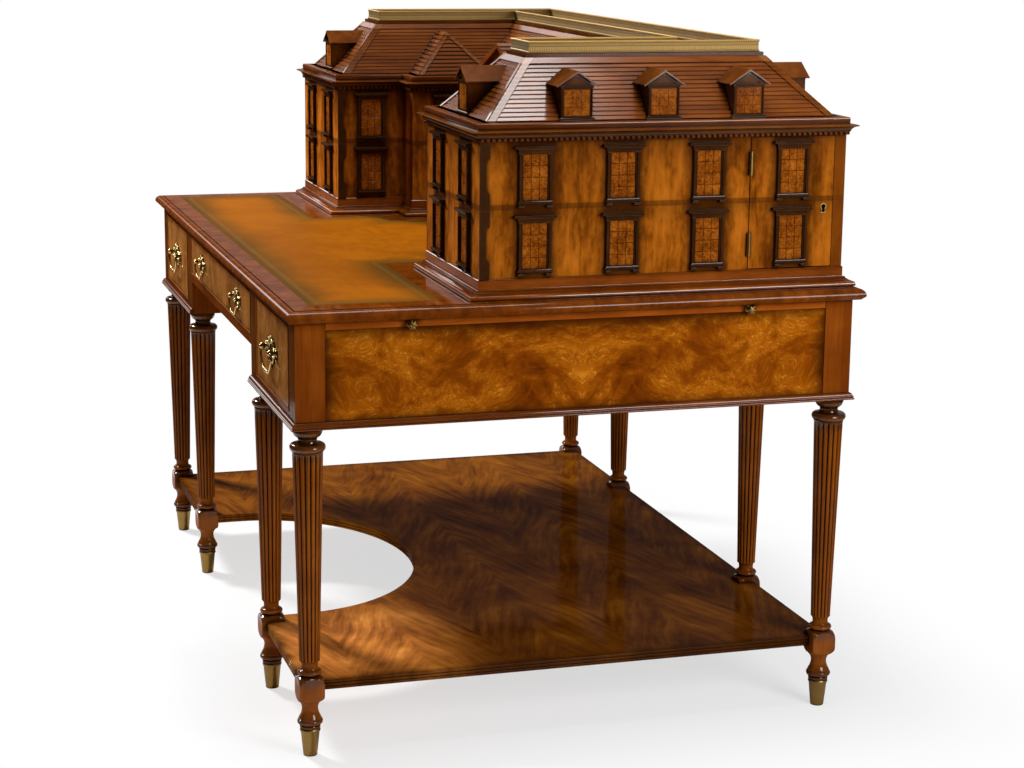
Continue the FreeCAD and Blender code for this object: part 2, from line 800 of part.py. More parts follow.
roof_base_bottom = cornice_top - roof_base_thickness
seat = cornice_seat
roof_boards = []
for side in (-1, 1):
    roof_boards.append(box(side * (inner_x + seat), side * (outer_x - seat), front_y + seat, back_y - seat,
                           roof_base_bottom, cornice_top))
    roof_boards.append(box(side * (pavilion_x + seat), side * (inner_x + seat),
                           pavilion_y + seat, range_y + seat, roof_base_bottom, cornice_top))
roof_boards.append(box(-inner_x - seat, inner_x + seat, range_y + seat, back_y - seat,
                       roof_base_bottom, cornice_top))
roof_boards.append(box(seat - centre_x, centre_x - seat, centre_y + seat, range_y + seat,
                       roof_base_bottom, cornice_top))
deck_inset = eaves_step + roof_run - deck_lap
for side in (-1, 1):
    roof_boards.append(box(side * (inner_x + deck_inset), side * (outer_x - deck_inset),
                           front_y + deck_inset, back_y - deck_inset, roof_top, deck_top))
roof_boards.append(box(-inner_x - deck_inset, inner_x + deck_inset, range_y + deck_inset, back_y - deck_inset,
                       roof_top, deck_top))
save("roof_boards", roof_boards)


# Slatted slopes: each slat's lower edge stands proud of the one below

def slope_steps():
    rise = roof_rise / slat_count
    steps = []
    for index in range(slat_count):
        low = index * rise
        high = low + rise
        steps.append((-eaves_step - low * roof_cot, cornice_top + low))
        steps.append((-eaves_step - high * roof_cot - slat_lap, cornice_top + high))
    steps.append((-eaves_step - roof_run - slope_thickness / math.cos(math.atan(roof_cot)), roof_top))
    steps.append((-eaves_step - slope_thickness / math.cos(math.atan(roof_cot)), cornice_top))
    return steps


save("roof_slopes", [strip(main_block, index, slope_steps()) for index in range(len(main_block))])


def hip_board(index, at_end):
    # A flat board on the slope, along the hip at one end of a side.
    steps = [(-eaves_step, cornice_top), (-eaves_step + hip_board_thickness, cornice_top),
             (-eaves_step - roof_run + hip_board_thickness, roof_top), (-eaves_step - roof_run, roof_top)]
    whole = strip(main_block, index, steps)
    start = main_block[index]
    end = main_block[(index + 1) % len(main_block)]
    along, normal = outward(start, end)
    corner = Vector(*(end if at_end else start), 0)
    inward = -along if at_end else along
    inner_mitre = inward - normal
    low = eaves_step - hip_board_thickness
    high = eaves_step + roof_run
    across = inward * hip_board_width
    plan = [corner + inner_mitre * low, corner + inner_mitre * high,
            corner + inner_mitre * high + across, corner + inner_mitre * low + across]
    trim = plan_prism([(point.x, point.y) for point in plan], cornice_top - overrun, roof_top + overrun)
    return whole.common(trim).Solids[0]


hip_boards = [hip_board(0, False), hip_board(0, True), hip_board(2, False), hip_board(2, True),
              hip_board(4, False), hip_board(7, True)]
save("hip_boards", hip_boards)

gallery_line = eaves_step + roof_run + gallery_inset
gallery_back = gallery_line + gallery_rim
gallery_band = gallery_back - gallery_thickness
gallery_top = deck_top + gallery_height
gallery_steps = [(-gallery_back, deck_top), (-gallery_line, deck_top),
                 (-gallery_line, deck_top + gallery_rim_height),
                 (-gallery_band, deck_top + gallery_rim_height),
                 (-gallery_band, gallery_top - gallery_rim_height),
                 (-gallery_line, gallery_top - gallery_rim_height), (-gallery_line, gallery_top),
                 (-gallery_back, gallery_top)]
save("brass_gallery", [strip(main_block, index, gallery_steps) for index in range(len(main_block))])


# Pavilion roofs in the inner corners, hipped, and the pedimented gable over the centre

def pavilion_roof():
    foot = cornice_top
    x0 = pavilion_x + eaves_step
    x1 = inner_x + eaves_step
    y0 = pavilion_y + eaves_step
    y1 = range_y + eaves_step
    half = (y1 - y0) / 2
    middle = (y0 + y1) / 2
    ridge = foot + half / roof_cot
    points = [(x0, y0, foot), (x0, y1, foot), (x0 + half, middle, ridge), (x1 + half, middle, ridge),
              (x1, y0, foot), (x1, y1, foot)]
    return polyhedron(points, [(0, 1, 5, 4), (0, 1, 2), (0, 2, 3, 4), (1, 5, 3, 2), (4, 3, 5)])


def gable(half, eave, rise, front):
    # A gable roof facing -Y that runs back into a slope starting at the eaves line, y = 0.
    back_eave = eave * roof_cot
    back_ridge = (eave + rise) * roof_cot
    points = [(-half, front, eave), (half, front, eave), (0, front, eave + rise),
              (-half, back_eave, eave), (half, back_eave, eave), (0, back_ridge, eave + rise)]
    return polyhedron(points, [(0, 1, 2), (0, 3, 4, 1), (0, 2, 5, 3), (1, 4, 5, 2), (3, 5, 4)])


pediment_half = centre_x + pediment_side_overhang
pediment_front = -centre_reach - eaves_step - pediment_overhang
pediment = gable(pediment_half, 0, pediment_rise, pediment_front)
recess_half = pediment_half * tympanum_share
recess_rise = pediment_rise * tympanum_share
recess_foot = (pediment_rise - recess_rise) / 2
recess = face_of([(-recess_half, recess_foot), (recess_half, recess_foot), (0, recess_foot + recess_rise)],
                 lambda across, height: Vector(across, pediment_front, height))
pediment = pediment.cut(recess.extrude(Vector(0, tympanum_depth, 0)))
save("courtyard_roofs", [pavilion_roof(), mirrored(pavilion_roof()),
                         facing(pediment, 0, 0, range_y + eaves_step, cornice_top)])


# Dormers

def dormer_parts():
    half = dormer_width / 2
    depth = dormer_eave_height * roof_cot
    face = face_of([(0, 0), (0, dormer_eave_height), (depth, dormer_eave_height)],
                   lambda back, height: Vector(-half, back, height))
    body = face.extrude(Vector(dormer_width, 0, 0))
    pane_half = dormer_pane_width / 2
    pane_top = dormer_pane_sill + dormer_pane_height
    body = body.cut(box(-pane_half, pane_half, 0, dormer_frame_depth, dormer_pane_sill, pane_top))
    pane = box(-pane_half, pane_half, dormer_frame_depth - pane_thickness, dormer_frame_depth,
               dormer_pane_sill, pane_top)
    sill = box(-dormer_sill_width / 2, dormer_sill_width / 2, -dormer_sill_reach, 0, 0, dormer_sill_height)
    roof = gable(dormer_roof_width / 2, dormer_eave_height, dormer_roof_rise, -dormer_overhang)
    return body.fuse(sill).removeSplitter(), roof, pane


side_first = front_y + side_window_offset
door_middle = (door_front_y + door_back_y) / 2
side_pitch = (door_middle - side_first) / 3
side_columns = [side_first + index * side_pitch for index in range(3)]
dormer_places = [(0, side * wing_x, front_y + eaves_step) for side in (-1, 1)]
for column in side_columns:
    dormer_places.append((90, outer_x - eaves_step, column + side_pitch / 2))
    dormer_places.append((-90, eaves_step - outer_x, column + side_pitch / 2))
for index in range(back_dormer_count):
    share = 2 * index / (back_dormer_count - 1) - 1
    dormer_places.append((180, share * wing_x, back_y - eaves_step))
bodies, roofs, dormer_panes = [], [], []
for turn, x, y in dormer_places:
    body, roof, pane = dormer_parts()
    bodies.append(facing(body, turn, x, y, cornice_top))
    roofs.append(facing(roof, turn, x, y, cornice_top))
    dormer_panes.append(facing(pane, turn, x, y, cornice_top))
save("dormer_bodies", bodies)
save("dormer_roofs", roofs)


# Windows: a hood, two jambs and a sill with feet round a veneered pane

def window_frame():
    half = pane_width / 2
    outer = half + jamb_width
    top = pane_height
    pieces = [
        box(-outer, -half, -jamb_depth, 0, 0, top), box(half, outer, -jamb_depth, 0, 0, top),
        box(-hood_bed_width / 2, hood_bed_width / 2, -hood_bed_depth, 0, top, top + hood_bed_height),
        box(-hood_width / 2, hood_width / 2, -hood_depth, 0, top + hood_bed_height,
            top + hood_bed_height + hood_height),
        box(-sill_width / 2, sill_width / 2, -sill_depth, 0, -sill_height, 0)]
    for side in (-1, 1):
        pieces.append(box(side * sill_width / 2, side * (sill_width / 2 - sill_foot_width), -sill_depth, 0,
                          -sill_height - sill_foot_height, -sill_height))
    return pieces[0].multiFuse(pieces[1:]).removeSplitter()


def window_pane():
    return box(-pane_width / 2, pane_width / 2, -pane_thickness, 0, 0, pane_height)


storeys = [plinth_top + lower_window_raise, plinth_top + upper_window_raise]
wall_columns = []
for side in (-1, 1):
    turn = 90 * side
    wall_columns += [(turn, side * outer_x, column) for column in side_columns]
    spread = wing_width * front_window_spread_share / 2
    wall_columns += [(0, side * wing_x + offset, front_y) for offset in (-spread, spread)]
    wall_columns.append((-turn, side * inner_x, front_y + inner_window_offset))
    wall_columns.append((-turn, side * pavilion_x, (pavilion_y + range_y) / 2))
    wall_columns.append((0, side * (pavilion_x + centre_x) / 2, range_y))
wall_columns += [(0, place * 2 * centre_x * centre_window_spread_share, centre_y) for place in (-1, 0, 1)]
back_pitch = 2 * wing_x / (back_dormer_count - 1)
back_first = -back_pitch * (back_window_count - 1) / 2
wall_columns += [(180, back_first + index * back_pitch, back_y) for index in range(back_window_count)]
frames, panes = [], dormer_panes
for turn, x, y in wall_columns:
    for level in storeys:
        frames.append(facing(window_frame(), turn, x, y, level))
        panes.append(facing(window_pane(), turn, x, y, level))
save("window_frames", frames)
save("window_panes", panes)


# Quoins: notched strips beside the front corners of the wings

def quoin(height):
    notch_low = height * (1 - quoin_notch_share) / 2
    notch_high = height - notch_low
    inner = quoin_width - quoin_notch
    face = face_of([(0, 0), (quoin_width, 0), (quoin_width, notch_low), (inner, notch_low + quoin_notch),
                    (inner, notch_high), (quoin_width, notch_high), (quoin_width, height), (0, height)],
                   lambda across, level: Vector(across, 0, level))
    return face.extrude(Vector(0, -quoin_thickness, 0))


quoins = []
storey = wall_height / 2
for level in (plinth_top, plinth_top + storey):
    outer_quoin = facing(quoin(storey), 90, outer_x, front_y, level)
    inner_quoin = facing(mirrored(quoin(storey)), -90, inner_x, front_y, level)
    quoins += [outer_quoin, mirrored(outer_quoin), inner_quoin, mirrored(inner_quoin)]
save("quoins", quoins)


# Doors at the back end of each wing's outer side, on brass butt hinges

hinge_axis_x = outer_x + hinge_barrel_radius + hinge_barrel_clearance
hinge_axis_y = door_front_y + hinge_joint / 2
hinge_levels = (plinth_top + hinge_low_centre, plinth_top + hinge_high_centre)
knuckle = hinge_height * hinge_knuckle_share


def fixed_hinge(level):
    low = level - hinge_height / 2
    high = level + hinge_height / 2
    pieces = [Part.makeCylinder(hinge_pin_radius, hinge_height, Vector(hinge_axis_x, hinge_axis_y, low))]
    for bottom in (low, high - knuckle):
        end = Vector(hinge_axis_x, hinge_axis_y, bottom)
        pieces.append(Part.makeCylinder(hinge_barrel_radius, knuckle, end))
        pieces.append(box(outer_x - hinge_leaf_width, hinge_axis_x, door_front_y,
                          door_front_y + hinge_leaf_thickness, bottom, bottom + knuckle))
    return pieces[0].multiFuse(pieces[1:]).removeSplitter()


def moving_hinge(level):
    low = level - hinge_height / 2 + knuckle + hinge_knuckle_gap
    high = level + hinge_height / 2 - knuckle - hinge_knuckle_gap
    barrel = Part.makeCylinder(hinge_barrel_radius, high - low, Vector(hinge_axis_x, hinge_axis_y, low))
    door_edge = door_front_y + hinge_joint
    leaf = box(outer_x - hinge_leaf_width, hinge_axis_x, door_edge - hinge_leaf_thickness, door_edge,
               low, high)
    bore = Part.makeCylinder(hinge_pin_radius + pin_clearance, high - low + 2 * overrun,
                             Vector(hinge_axis_x, hinge_axis_y, low - overrun))
    return barrel.fuse(leaf).cut(bore)


def escutcheon(y, z):
    plate = box(outer_x, outer_x + escutcheon_thickness, y - escutcheon_width / 2, y + escutcheon_width / 2,
                z - escutcheon_height / 2, z + escutcheon_height / 2)
    eye = Vector(outer_x - overrun, y, z + keyhole_radius)
    hole = Part.makeCylinder(keyhole_radius, 2 * overrun, eye, Vector(1, 0, 0))
    slot = box(outer_x - overrun, outer_x + overrun, y - keyhole_slot_width / 2, y + keyhole_slot_width / 2,
               z + keyhole_radius - keyhole_slot_length, z + keyhole_radius)
    return plate.cut(hole.fuse(slot))


door_panel = box(outer_x - wall_thickness, outer_x, door_front_y + hinge_joint, door_back_y - door_gap,
                 plinth_top + door_gap, wall_top - door_gap)
door_window = [facing(window_frame(), 90, outer_x, door_middle, level) for level in storeys]
door_window += [facing(window_pane(), 90, outer_x, door_middle, level) for level in storeys]
door_brass = [moving_hinge(level) for level in hinge_levels]
door_brass.append(escutcheon(door_back_y - keyhole_inset, plinth_top + keyhole_raise))
fixed_brass = [fixed_hinge(level) for level in hinge_levels]
for side_name, side in (("left", -1), ("right", 1)):
    hand = mirrored if side < 0 else (lambda shape: shape.copy())
    save("door_" + side_name, hand(door_panel))
    save("door_windows_" + side_name, [hand(piece) for piece in door_window])
    save("door_brass_" + side_name, [hand(piece) for piece in door_brass])
save("fixed_hinge_leaves", fixed_brass + [mirrored(piece) for piece in fixed_brass])
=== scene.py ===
import bmesh
import bpy
import math
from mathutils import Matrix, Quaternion, Vector


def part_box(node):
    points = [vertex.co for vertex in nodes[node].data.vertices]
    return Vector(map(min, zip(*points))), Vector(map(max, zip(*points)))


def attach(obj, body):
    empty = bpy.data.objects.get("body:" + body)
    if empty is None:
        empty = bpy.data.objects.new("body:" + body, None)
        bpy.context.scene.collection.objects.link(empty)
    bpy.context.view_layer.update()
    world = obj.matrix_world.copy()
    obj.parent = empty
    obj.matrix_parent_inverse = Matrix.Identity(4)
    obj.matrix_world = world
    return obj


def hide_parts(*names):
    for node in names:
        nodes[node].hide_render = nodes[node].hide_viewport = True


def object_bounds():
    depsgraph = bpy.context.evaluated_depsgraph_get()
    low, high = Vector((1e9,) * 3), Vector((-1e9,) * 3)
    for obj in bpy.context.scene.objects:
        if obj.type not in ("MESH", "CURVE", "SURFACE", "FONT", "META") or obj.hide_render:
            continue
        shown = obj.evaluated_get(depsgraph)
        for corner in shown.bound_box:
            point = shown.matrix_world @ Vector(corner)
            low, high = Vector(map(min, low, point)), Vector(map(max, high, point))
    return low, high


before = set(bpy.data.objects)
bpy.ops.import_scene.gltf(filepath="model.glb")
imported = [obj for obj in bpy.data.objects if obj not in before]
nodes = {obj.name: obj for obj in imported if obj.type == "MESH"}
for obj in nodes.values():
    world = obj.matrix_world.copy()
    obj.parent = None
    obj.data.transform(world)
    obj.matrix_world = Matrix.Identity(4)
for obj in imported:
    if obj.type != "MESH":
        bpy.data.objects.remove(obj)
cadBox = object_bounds()
mm = 0.001  # shapes below are written in millimetres
print("frame loaded:", len(nodes), "nodes")


# shader sockets as numbers

class Flow:
    def __init__(self, tree, socket=None):
        self.tree = tree
        self.socket = socket

    def node(self, kind, settings=None, sockets=None, out=0):
        made = self.tree.nodes.new("ShaderNode" + kind)
        for name, value in (settings or {}).items():
            if name == "stops":
                fillRamp(made.color_ramp, value)
            else:
                setattr(made, name, value)
        for name, value in (sockets or {}).items():
            if isinstance(value, Flow):
                self.tree.links.new(value.socket, made.inputs[name])
            else:
                made.inputs[name].default_value = value
        return Flow(self.tree, made.outputs[out])

    def maths(self, operation, first, second=0.0):
        return self.node("Math", {"operation": operation}, {0: first, 1: second})

    def __add__(self, other):
        return self.maths("ADD", self, other)

    def __sub__(self, other):
        return self.maths("SUBTRACT", self, other)

    def __rsub__(self, other):
        return self.maths("SUBTRACT", other, self)

    def __mul__(self, other):
        return self.maths("MULTIPLY", self, other)

    def __truediv__(self, other):
        return self.maths("DIVIDE", self, other)

    def __pow__(self, other):
        return self.maths("POWER", self, other)

    __radd__ = __add__
    __rmul__ = __mul__

    def size(self):
        return self.maths("ABSOLUTE", self)

    def least(self, other):
        return self.maths("MINIMUM", self, other)

    def most(self, other):
        return self.maths("MAXIMUM", self, other)

    def over(self, other):
        return self.maths("GREATER_THAN", self, other)

    def between(self, low, high):
        return self.node("MapRange", {"interpolation_type": "SMOOTHSTEP"},
                         {"Value": self, "From Min": low, "From Max": high})

    def blend(self, first, second):
        return self.node("Mix", {"data_type": "RGBA"}, {0: self, 6: first, 7: second}, 2)

    def tinted(self, other):
        return self.node("VectorMath", {"operation": "MULTIPLY"}, {0: self, 1: other})

    def ramp(self, stops):
        return self.node("ValToRGB", {"stops": stops}, {"Fac": self})

    def parts(self):
        split = self.node("SeparateXYZ", None, {0: self})
        outputs = split.socket.node.outputs
        return [Flow(self.tree, outputs[index]) for index in range(3)]

    def joined(self, x, y, z):
        return self.node("CombineXYZ", None, {0: x, 1: y, 2: z})

    def stretched(self, x, y, z):
        return self.tinted((x, y, z))

    def shifted(self, other, share):
        scaled = self.node("VectorMath", {"operation": "SCALE"}, {0: other, "Scale": share})
        return self.node("VectorMath", {"operation": "ADD"}, {0: self, 1: scaled})

    def objectPlace(self):
        return self.node("TexCoord", None, None, "Object")

    def noise(self, scale, detail, rough, out="Factor"):
        return self.node("TexNoise", None, {"Vector": self, "Scale": scale, "Detail": detail,
                                            "Roughness": rough}, 0 if out == "Factor" else 1)

    def swayed(self, scale, detail, rough, reach):
        return self.shifted(self.noise(scale, detail, rough, "Color"), reach)

    def backAndForth(self, half):
        return self.maths("PINGPONG", self, half)

    def waves(self, count):
        return (self * count).backAndForth(0.5) * 2.0

    def ragged(self, figure, wander, run):
        # a soft step along a line that wanders with the figure
        return (self + (figure - 0.5) * wander).between(*run)

    def facing(self, axis):
        # 1 on the faces that look along an axis, either way
        return self.node("TexCoord", None, None, "Normal").parts()[axis].size().over(0.5)

    def hollows(self, reach, inside=False):
        return self.node("AmbientOcclusion", {"samples": 4, "inside": inside}, {"Distance": reach}, "AO")


def fillRamp(ramp, stops):
    while len(ramp.elements) < len(stops):
        ramp.elements.new(0.5)
    for element, (place, colour) in zip(ramp.elements, stops):
        element.position = place
        element.color = (*colour, 1.0)


def solid(colour):
    return (*colour, 1.0)


def startFinish(name):
    finish = bpy.data.materials.new(name)
    finish.use_nodes = True
    tree = finish.node_tree
    return finish, Flow(tree), tree.nodes["Principled BSDF"]


def setShader(flow, shader, values):
    for name, value in values.items():
        if isinstance(value, Flow):
            flow.tree.links.new(value.socket, shader.inputs[name])
        else:
            shader.inputs[name].default_value = value


# wood, polished: painted shade and dark wax in the hollows, wear along the arrises with a painted highlight

woodLook = {"coat": 0.16, "coatRoughness": 0.10, "coatIor": 1.5, "roughness": 0.5, "fibreRoughness": 0.12,
            "fibreBump": 0.00010, "bumpStrength": 0.5, "edgeRadius": 0.0, "creviceReach": 0.018,
            "creviceLow": 0.38, "creviceHigh": 0.94, "edgeColour": (0.012, 0.0040, 0.0010), "wearAndGlint": 0.0,
            "wearAndGlintReach": 0.0016, "wearAndGlintRun": (0.25, 0.8), "wearAndGlintColour": (0.36, 0.17, 0.060)}

# noises are (scale, detail, roughness), and a sway adds how far it carries the place
grainLook = {"sway": (4.0, 2.0, 0.5, 0.03), "bands": (26.0, 4.0, 0.6), "fibres": (190.0, 3.0, 0.65),
             "cloud": (11.0, 3.0, 0.55), "shares": (0.4, 0.25, 0.35)}
fineBands = (60.0, 4.0, 0.6)


def weighed(figures, shares):
    total = figures[0] * shares[0]
    for figure, share in zip(figures[1:], shares[1:]):
        total = total + figure * share
    return total


def heartwood(at, look):
    # straight or figured grain: the length of the timber is the axis that is scaled least
    look = dict(grainLook, **look)
    long = at.swayed(*look["sway"]).stretched(*look["stretch"])
    bands = long.noise(*look["bands"])
    fibres = long.noise(*look["fibres"])
    cloud = at.noise(*look["cloud"])
    return weighed((bands, fibres, cloud), look["shares"]), fibres


def polish(flow, shader, look, colour, fibres):
    look = dict(woodLook, **look)
    # painted shade: ambient occlusion darkens the hollows and the laps, standing also for dark wax
    clearOfShadeAndWax = flow.hollows(look["creviceReach"]).between(look["creviceLow"], look["creviceHigh"])
    colour = clearOfShadeAndWax.blend(solid(look["edgeColour"]), colour)
    # the arrises are lightened for wear and for a painted highlight along them
    if look["wearAndGlint"]:
        arris = flow.hollows(look["wearAndGlintReach"], inside=True)
        wornAndGlinting = (1 - arris).between(*look["wearAndGlintRun"]) * look["wearAndGlint"]
        colour = wornAndGlinting.blend(colour, solid(look["wearAndGlintColour"]))
    relief = {"Height": fibres, "Distance": look["fibreBump"], "Strength": look["bumpStrength"]}
    if look["edgeRadius"]:
        relief["Normal"] = flow.node("Bevel", {"samples": 2}, {"Radius": look["edgeRadius"]})
    setShader(flow, shader, {
        "Base Color": colour, "Roughness": fibres * look["fibreRoughness"] + look["roughness"],
        "Specular IOR Level": 0.0, "Coat Weight": look["coat"], "Coat Roughness": look["coatRoughness"],
        "Coat IOR": look["coatIor"], "Normal": flow.node("Bump", None, relief)})


def upShare(at, node):
    # 0 at the foot of a node, 1 at its top
    low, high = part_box(node)
    return (at.parts()[2] - low.z) / (high.z - low.z)


def woodFinish(name, look):
    finish, flow, shader = startFinish(name)
    at = flow.objectPlace()
    grain, fibres = heartwood(at, look)
    colour = grain.ramp(look["stops"])
    if "levels" in look:
        up = upShare(at, look["levelNode"])
        colour = colour.tinted(up.ramp(look["levels"]))
        if "coatLevels" in look:
            look = dict(look, coat=up.ramp(look["coatLevels"]))
    if "facingTint" in look:
        axis, tint = look["facingTint"]
        colour = flow.facing(axis).blend(colour, colour.tinted(tint))
    polish(flow, shader, look, colour, fibres)
    return finish


def toned(stops, share):
    return [(place, tuple(value * share for value in colour)) for place, colour in stops]


def greys(stops):
    return [(place, (value, value, value)) for place, value in stops]


redBrown = [(0.28, (0.070, 0.0130, 0.0012)), (0.46, (0.150, 0.0320, 0.0026)),
            (0.58, (0.215, 0.0500, 0.0042)), (0.76, (0.330, 0.0900, 0.0090))]
deepBrown = [(0.28, (0.040, 0.0090, 0.0016)), (0.5, (0.125, 0.0310, 0.0044)),
             (0.76, (0.240, 0.0700, 0.0100))]
darkTrim = [(0.28, (0.022, 0.0075, 0.0022)), (0.52, (0.052, 0.0180, 0.0048)),
            (0.76, (0.105, 0.0390, 0.0100))]
roofBrown = [(0.28, (0.070, 0.0160, 0.0018)), (0.48, (0.160, 0.0390, 0.0040)),
             (0.76, (0.330, 0.0950, 0.0120))]

uprightWood = woodFinish("upright_mahogany", {
    "stretch": (1.0, 1.0, 0.06), "stops": toned(redBrown, 1.12), "edgeRadius": 0.001,
    "facingTint": (1, (0.45, 0.55, 1.0))})
railWood = woodFinish("front_rail_mahogany", {
    "stretch": (0.06, 0.06, 1.0), "stops": toned(redBrown, 0.62), "edgeRadius": 0.001})
acrossWood = woodFinish("rail_mahogany", {
    "stretch": (0.06, 0.06, 1.0), "stops": toned(redBrown, 1.9), "edgeRadius": 0.001,
    "facingTint": (2, (0.5, 0.5, 0.7))})
mouldingWood = woodFinish("moulding_mahogany", {
    "stretch": (0.12, 0.12, 1.0), "stops": toned(redBrown, 0.72), "creviceReach": 0.007, "coat": 0.5,
    "coatRoughness": 0.07, "wearAndGlint": 0.25})
corniceWood = woodFinish("cornice_mahogany", {
    "stretch": (0.12, 0.12, 1.0), "stops": redBrown, "creviceReach": 0.007, "coat": 0.5,
    "coatRoughness": 0.07, "levelNode": "cornice",
    # the levels paint a highlight along the lip, and painted shade below it and in the neck under the fascia
    "levels": [(0.0, (0.28, 0.34, 0.5)), (0.24, (0.34, 0.42, 0.6)), (0.42, (0.42, 0.54, 0.7)),
               (0.50, (0.55, 0.65, 0.9)), (0.54, (0.95, 1.2, 1.9)), (0.60, (0.6, 0.75, 1.2)),
               (0.67, (0.40, 0.42, 0.6)), (0.75, (0.62, 0.66, 1.2)), (1.0, (0.74, 0.80, 1.5))]})
plinthWood = woodFinish("plinth_mahogany", {
    "stretch": (0.12, 0.12, 1.0), "stops": toned(redBrown, 1.25), "creviceReach": 0.010, "coat": 0.8,
    "coatRoughness": 0.07, "wearAndGlint": 0.2, "levelNode": "mansion_base",
    # the levels paint highlights on the torus, on the fillet and along the top edge, and painted shade in the
    # cove and just under the top
    "levels": [(0.0, (0.75, 0.75, 0.75)), (0.08, (1.15, 1.2, 1.3)), (0.22, (1.0, 1.0, 1.0)),
               (0.32, (0.5, 0.5, 0.5)), (0.43, (0.6, 0.6, 0.6)), (0.47, (1.5, 1.7, 2.0)),
               (0.52, (1.25, 1.3, 1.5)), (0.85, (0.95, 0.95, 1.0)), (0.95, (0.6, 0.6, 0.6)),
               (1.0, (1.3, 1.5, 2.0))]})
turnedWood = woodFinish("turned_mahogany", {
    "stretch": (1.0, 1.0, 0.05), "stops": toned(deepBrown, 1.6), "creviceReach": 0.020, "creviceLow": 0.50,
    "creviceHigh": 0.97, "coatRoughness": 0.07, "levelNode": "leg_front_left",
    "coatLevels": greys([(0.12, 0.5), (0.14, 0.2), (0.21, 0.2), (0.23, 0.6), (0.25, 0.6), (0.27, 0.13),
                         (0.89, 0.13), (0.92, 0.7)]),
    # painted shade darkens the neck above the block and the collar under the carcase; the foot is tinted
    # darker and the block lighter
    "levels": [(0.0, (0.42, 0.45, 0.45)), (0.10, (0.46, 0.50, 0.5)), (0.14, (1.1, 1.15, 0.7)),
               (0.21, (1.1, 1.15, 0.7)), (0.23, (0.55, 0.58, 0.5)), (0.27, (1.02, 1.02, 0.45)),
               (0.89, (0.96, 0.96, 0.45)), (0.92, (0.5, 0.54, 0.45)), (1.0, (0.5, 0.54, 0.45))],
    "edgeColour": (0.005, 0.0016, 0.0005)})
trimWood = woodFinish("dark_window_trim", {
    "stretch": (0.5, 0.5, 0.5), "stops": toned(darkTrim, 0.9), "creviceReach": 0.005,
    "edgeColour": (0.012, 0.0050, 0.0018), "wearAndGlint": 0.6, "coat": 0.3, "coatRoughness": 0.07,
    "wearAndGlintReach": 0.0012, "wearAndGlintColour": (0.22, 0.115, 0.050)})
cheekWood = woodFinish("dormer_cheek", {
    "stretch": (0.5, 0.5, 0.5), "stops": toned(roofBrown, 0.55), "creviceReach": 0.010, "coat": 0.12})
dormerWood = woodFinish("dormer_boards", {
    "stretch": (0.35, 0.35, 0.35), "stops": toned(roofBrown, 0.75), "bands": fineBands, "coat": 0.4,
    "coatRoughness": 0.15, "wearAndGlint": 0.15})
roofWood = woodFinish("roof_slats", {
    "stretch": (0.07, 0.07, 1.0), "stops": toned(roofBrown, 0.95), "creviceReach": 0.0035,
    "creviceLow": 0.45, "creviceHigh": 0.98, "bands": fineBands, "shares": (0.55, 0.25, 0.2),
    "coat": 1.0, "coatRoughness": 0.19, "wearAndGlint": 0.1})
boardWood = woodFinish("roof_boards_smooth", {
    "stretch": (0.35, 0.35, 0.35), "stops": toned(roofBrown, 0.85), "bands": fineBands, "coat": 0.9,
    "coatRoughness": 0.13, "wearAndGlint": 0.4})
liningWood = woodFinish("lining_ash", {
    "stretch": (1.0, 0.08, 1.0), "edgeColour": (0.10, 0.06, 0.03), "coat": 0.05, "roughness": 0.55,
    "stops": [(0.25, (0.28, 0.17, 0.085)), (0.55, (0.40, 0.26, 0.14)), (0.8, (0.50, 0.35, 0.20))]})
# painted shade: a near-black finish for the inside of the keyhole
keyholeShade = woodFinish("keyhole_painted_shade", {
    "stretch": (1.0, 1.0, 1.0), "coat": 0.0, "stops": toned(darkTrim, 0.1)})


def fromEdges(at, node, axes):
    # distance to the nearest edge of a flat panel, in metres
    low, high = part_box(node)
    room = None
    for index, here in enumerate(at.parts()):
        if "xyz"[index] in axes:
            near = (here - low[index]).least(high[index] - here)
            room = near if room is None else room.least(near)
    return room


# crotch veneer: soft feathers and fine curls of light that swirl over the sheet

flameLook = {"stops": [(0.34, (0.100, 0.0190, 0.0008)), (0.45, (0.205, 0.0440, 0.0014)),
                       (0.55, (0.330, 0.0850, 0.0026)), (0.68, (0.470, 0.1420, 0.0060))],
             "hair": (0.700, 0.2700, 0.0240), "hairShare": 0.7, "edgeColour": (0.045, 0.0100, 0.0012),
             "edgeWander": 0.03, "edgeRun": (-0.006, 0.034), "creviceReach": 0.014, "coat": 0.12,
             "folded": False, "sway": (5.0, 2.0, 0.5, 0.13), "curl": (19.0, 3.0, 0.55, 0.034),
             "cloud": (17.0, 4.0, 0.6), "feather": (62.0, 3.0, 0.62), "fibres": (300.0, 2.0, 0.6),
             "shares": (0.6, 0.28, 0.12), "strands": (25.0, 4.0, 0.55), "strandCount": 19.0,
             "strandRun": (0.70, 1.0), "wisps": (48.0, 3.0, 0.5), "wispCount": 11.0, "wispRun": (0.78, 1.0),
             "wispShare": 0.7, "hairFeather": (0.40, 0.62), "hairCloud": (0.36, 0.6)}


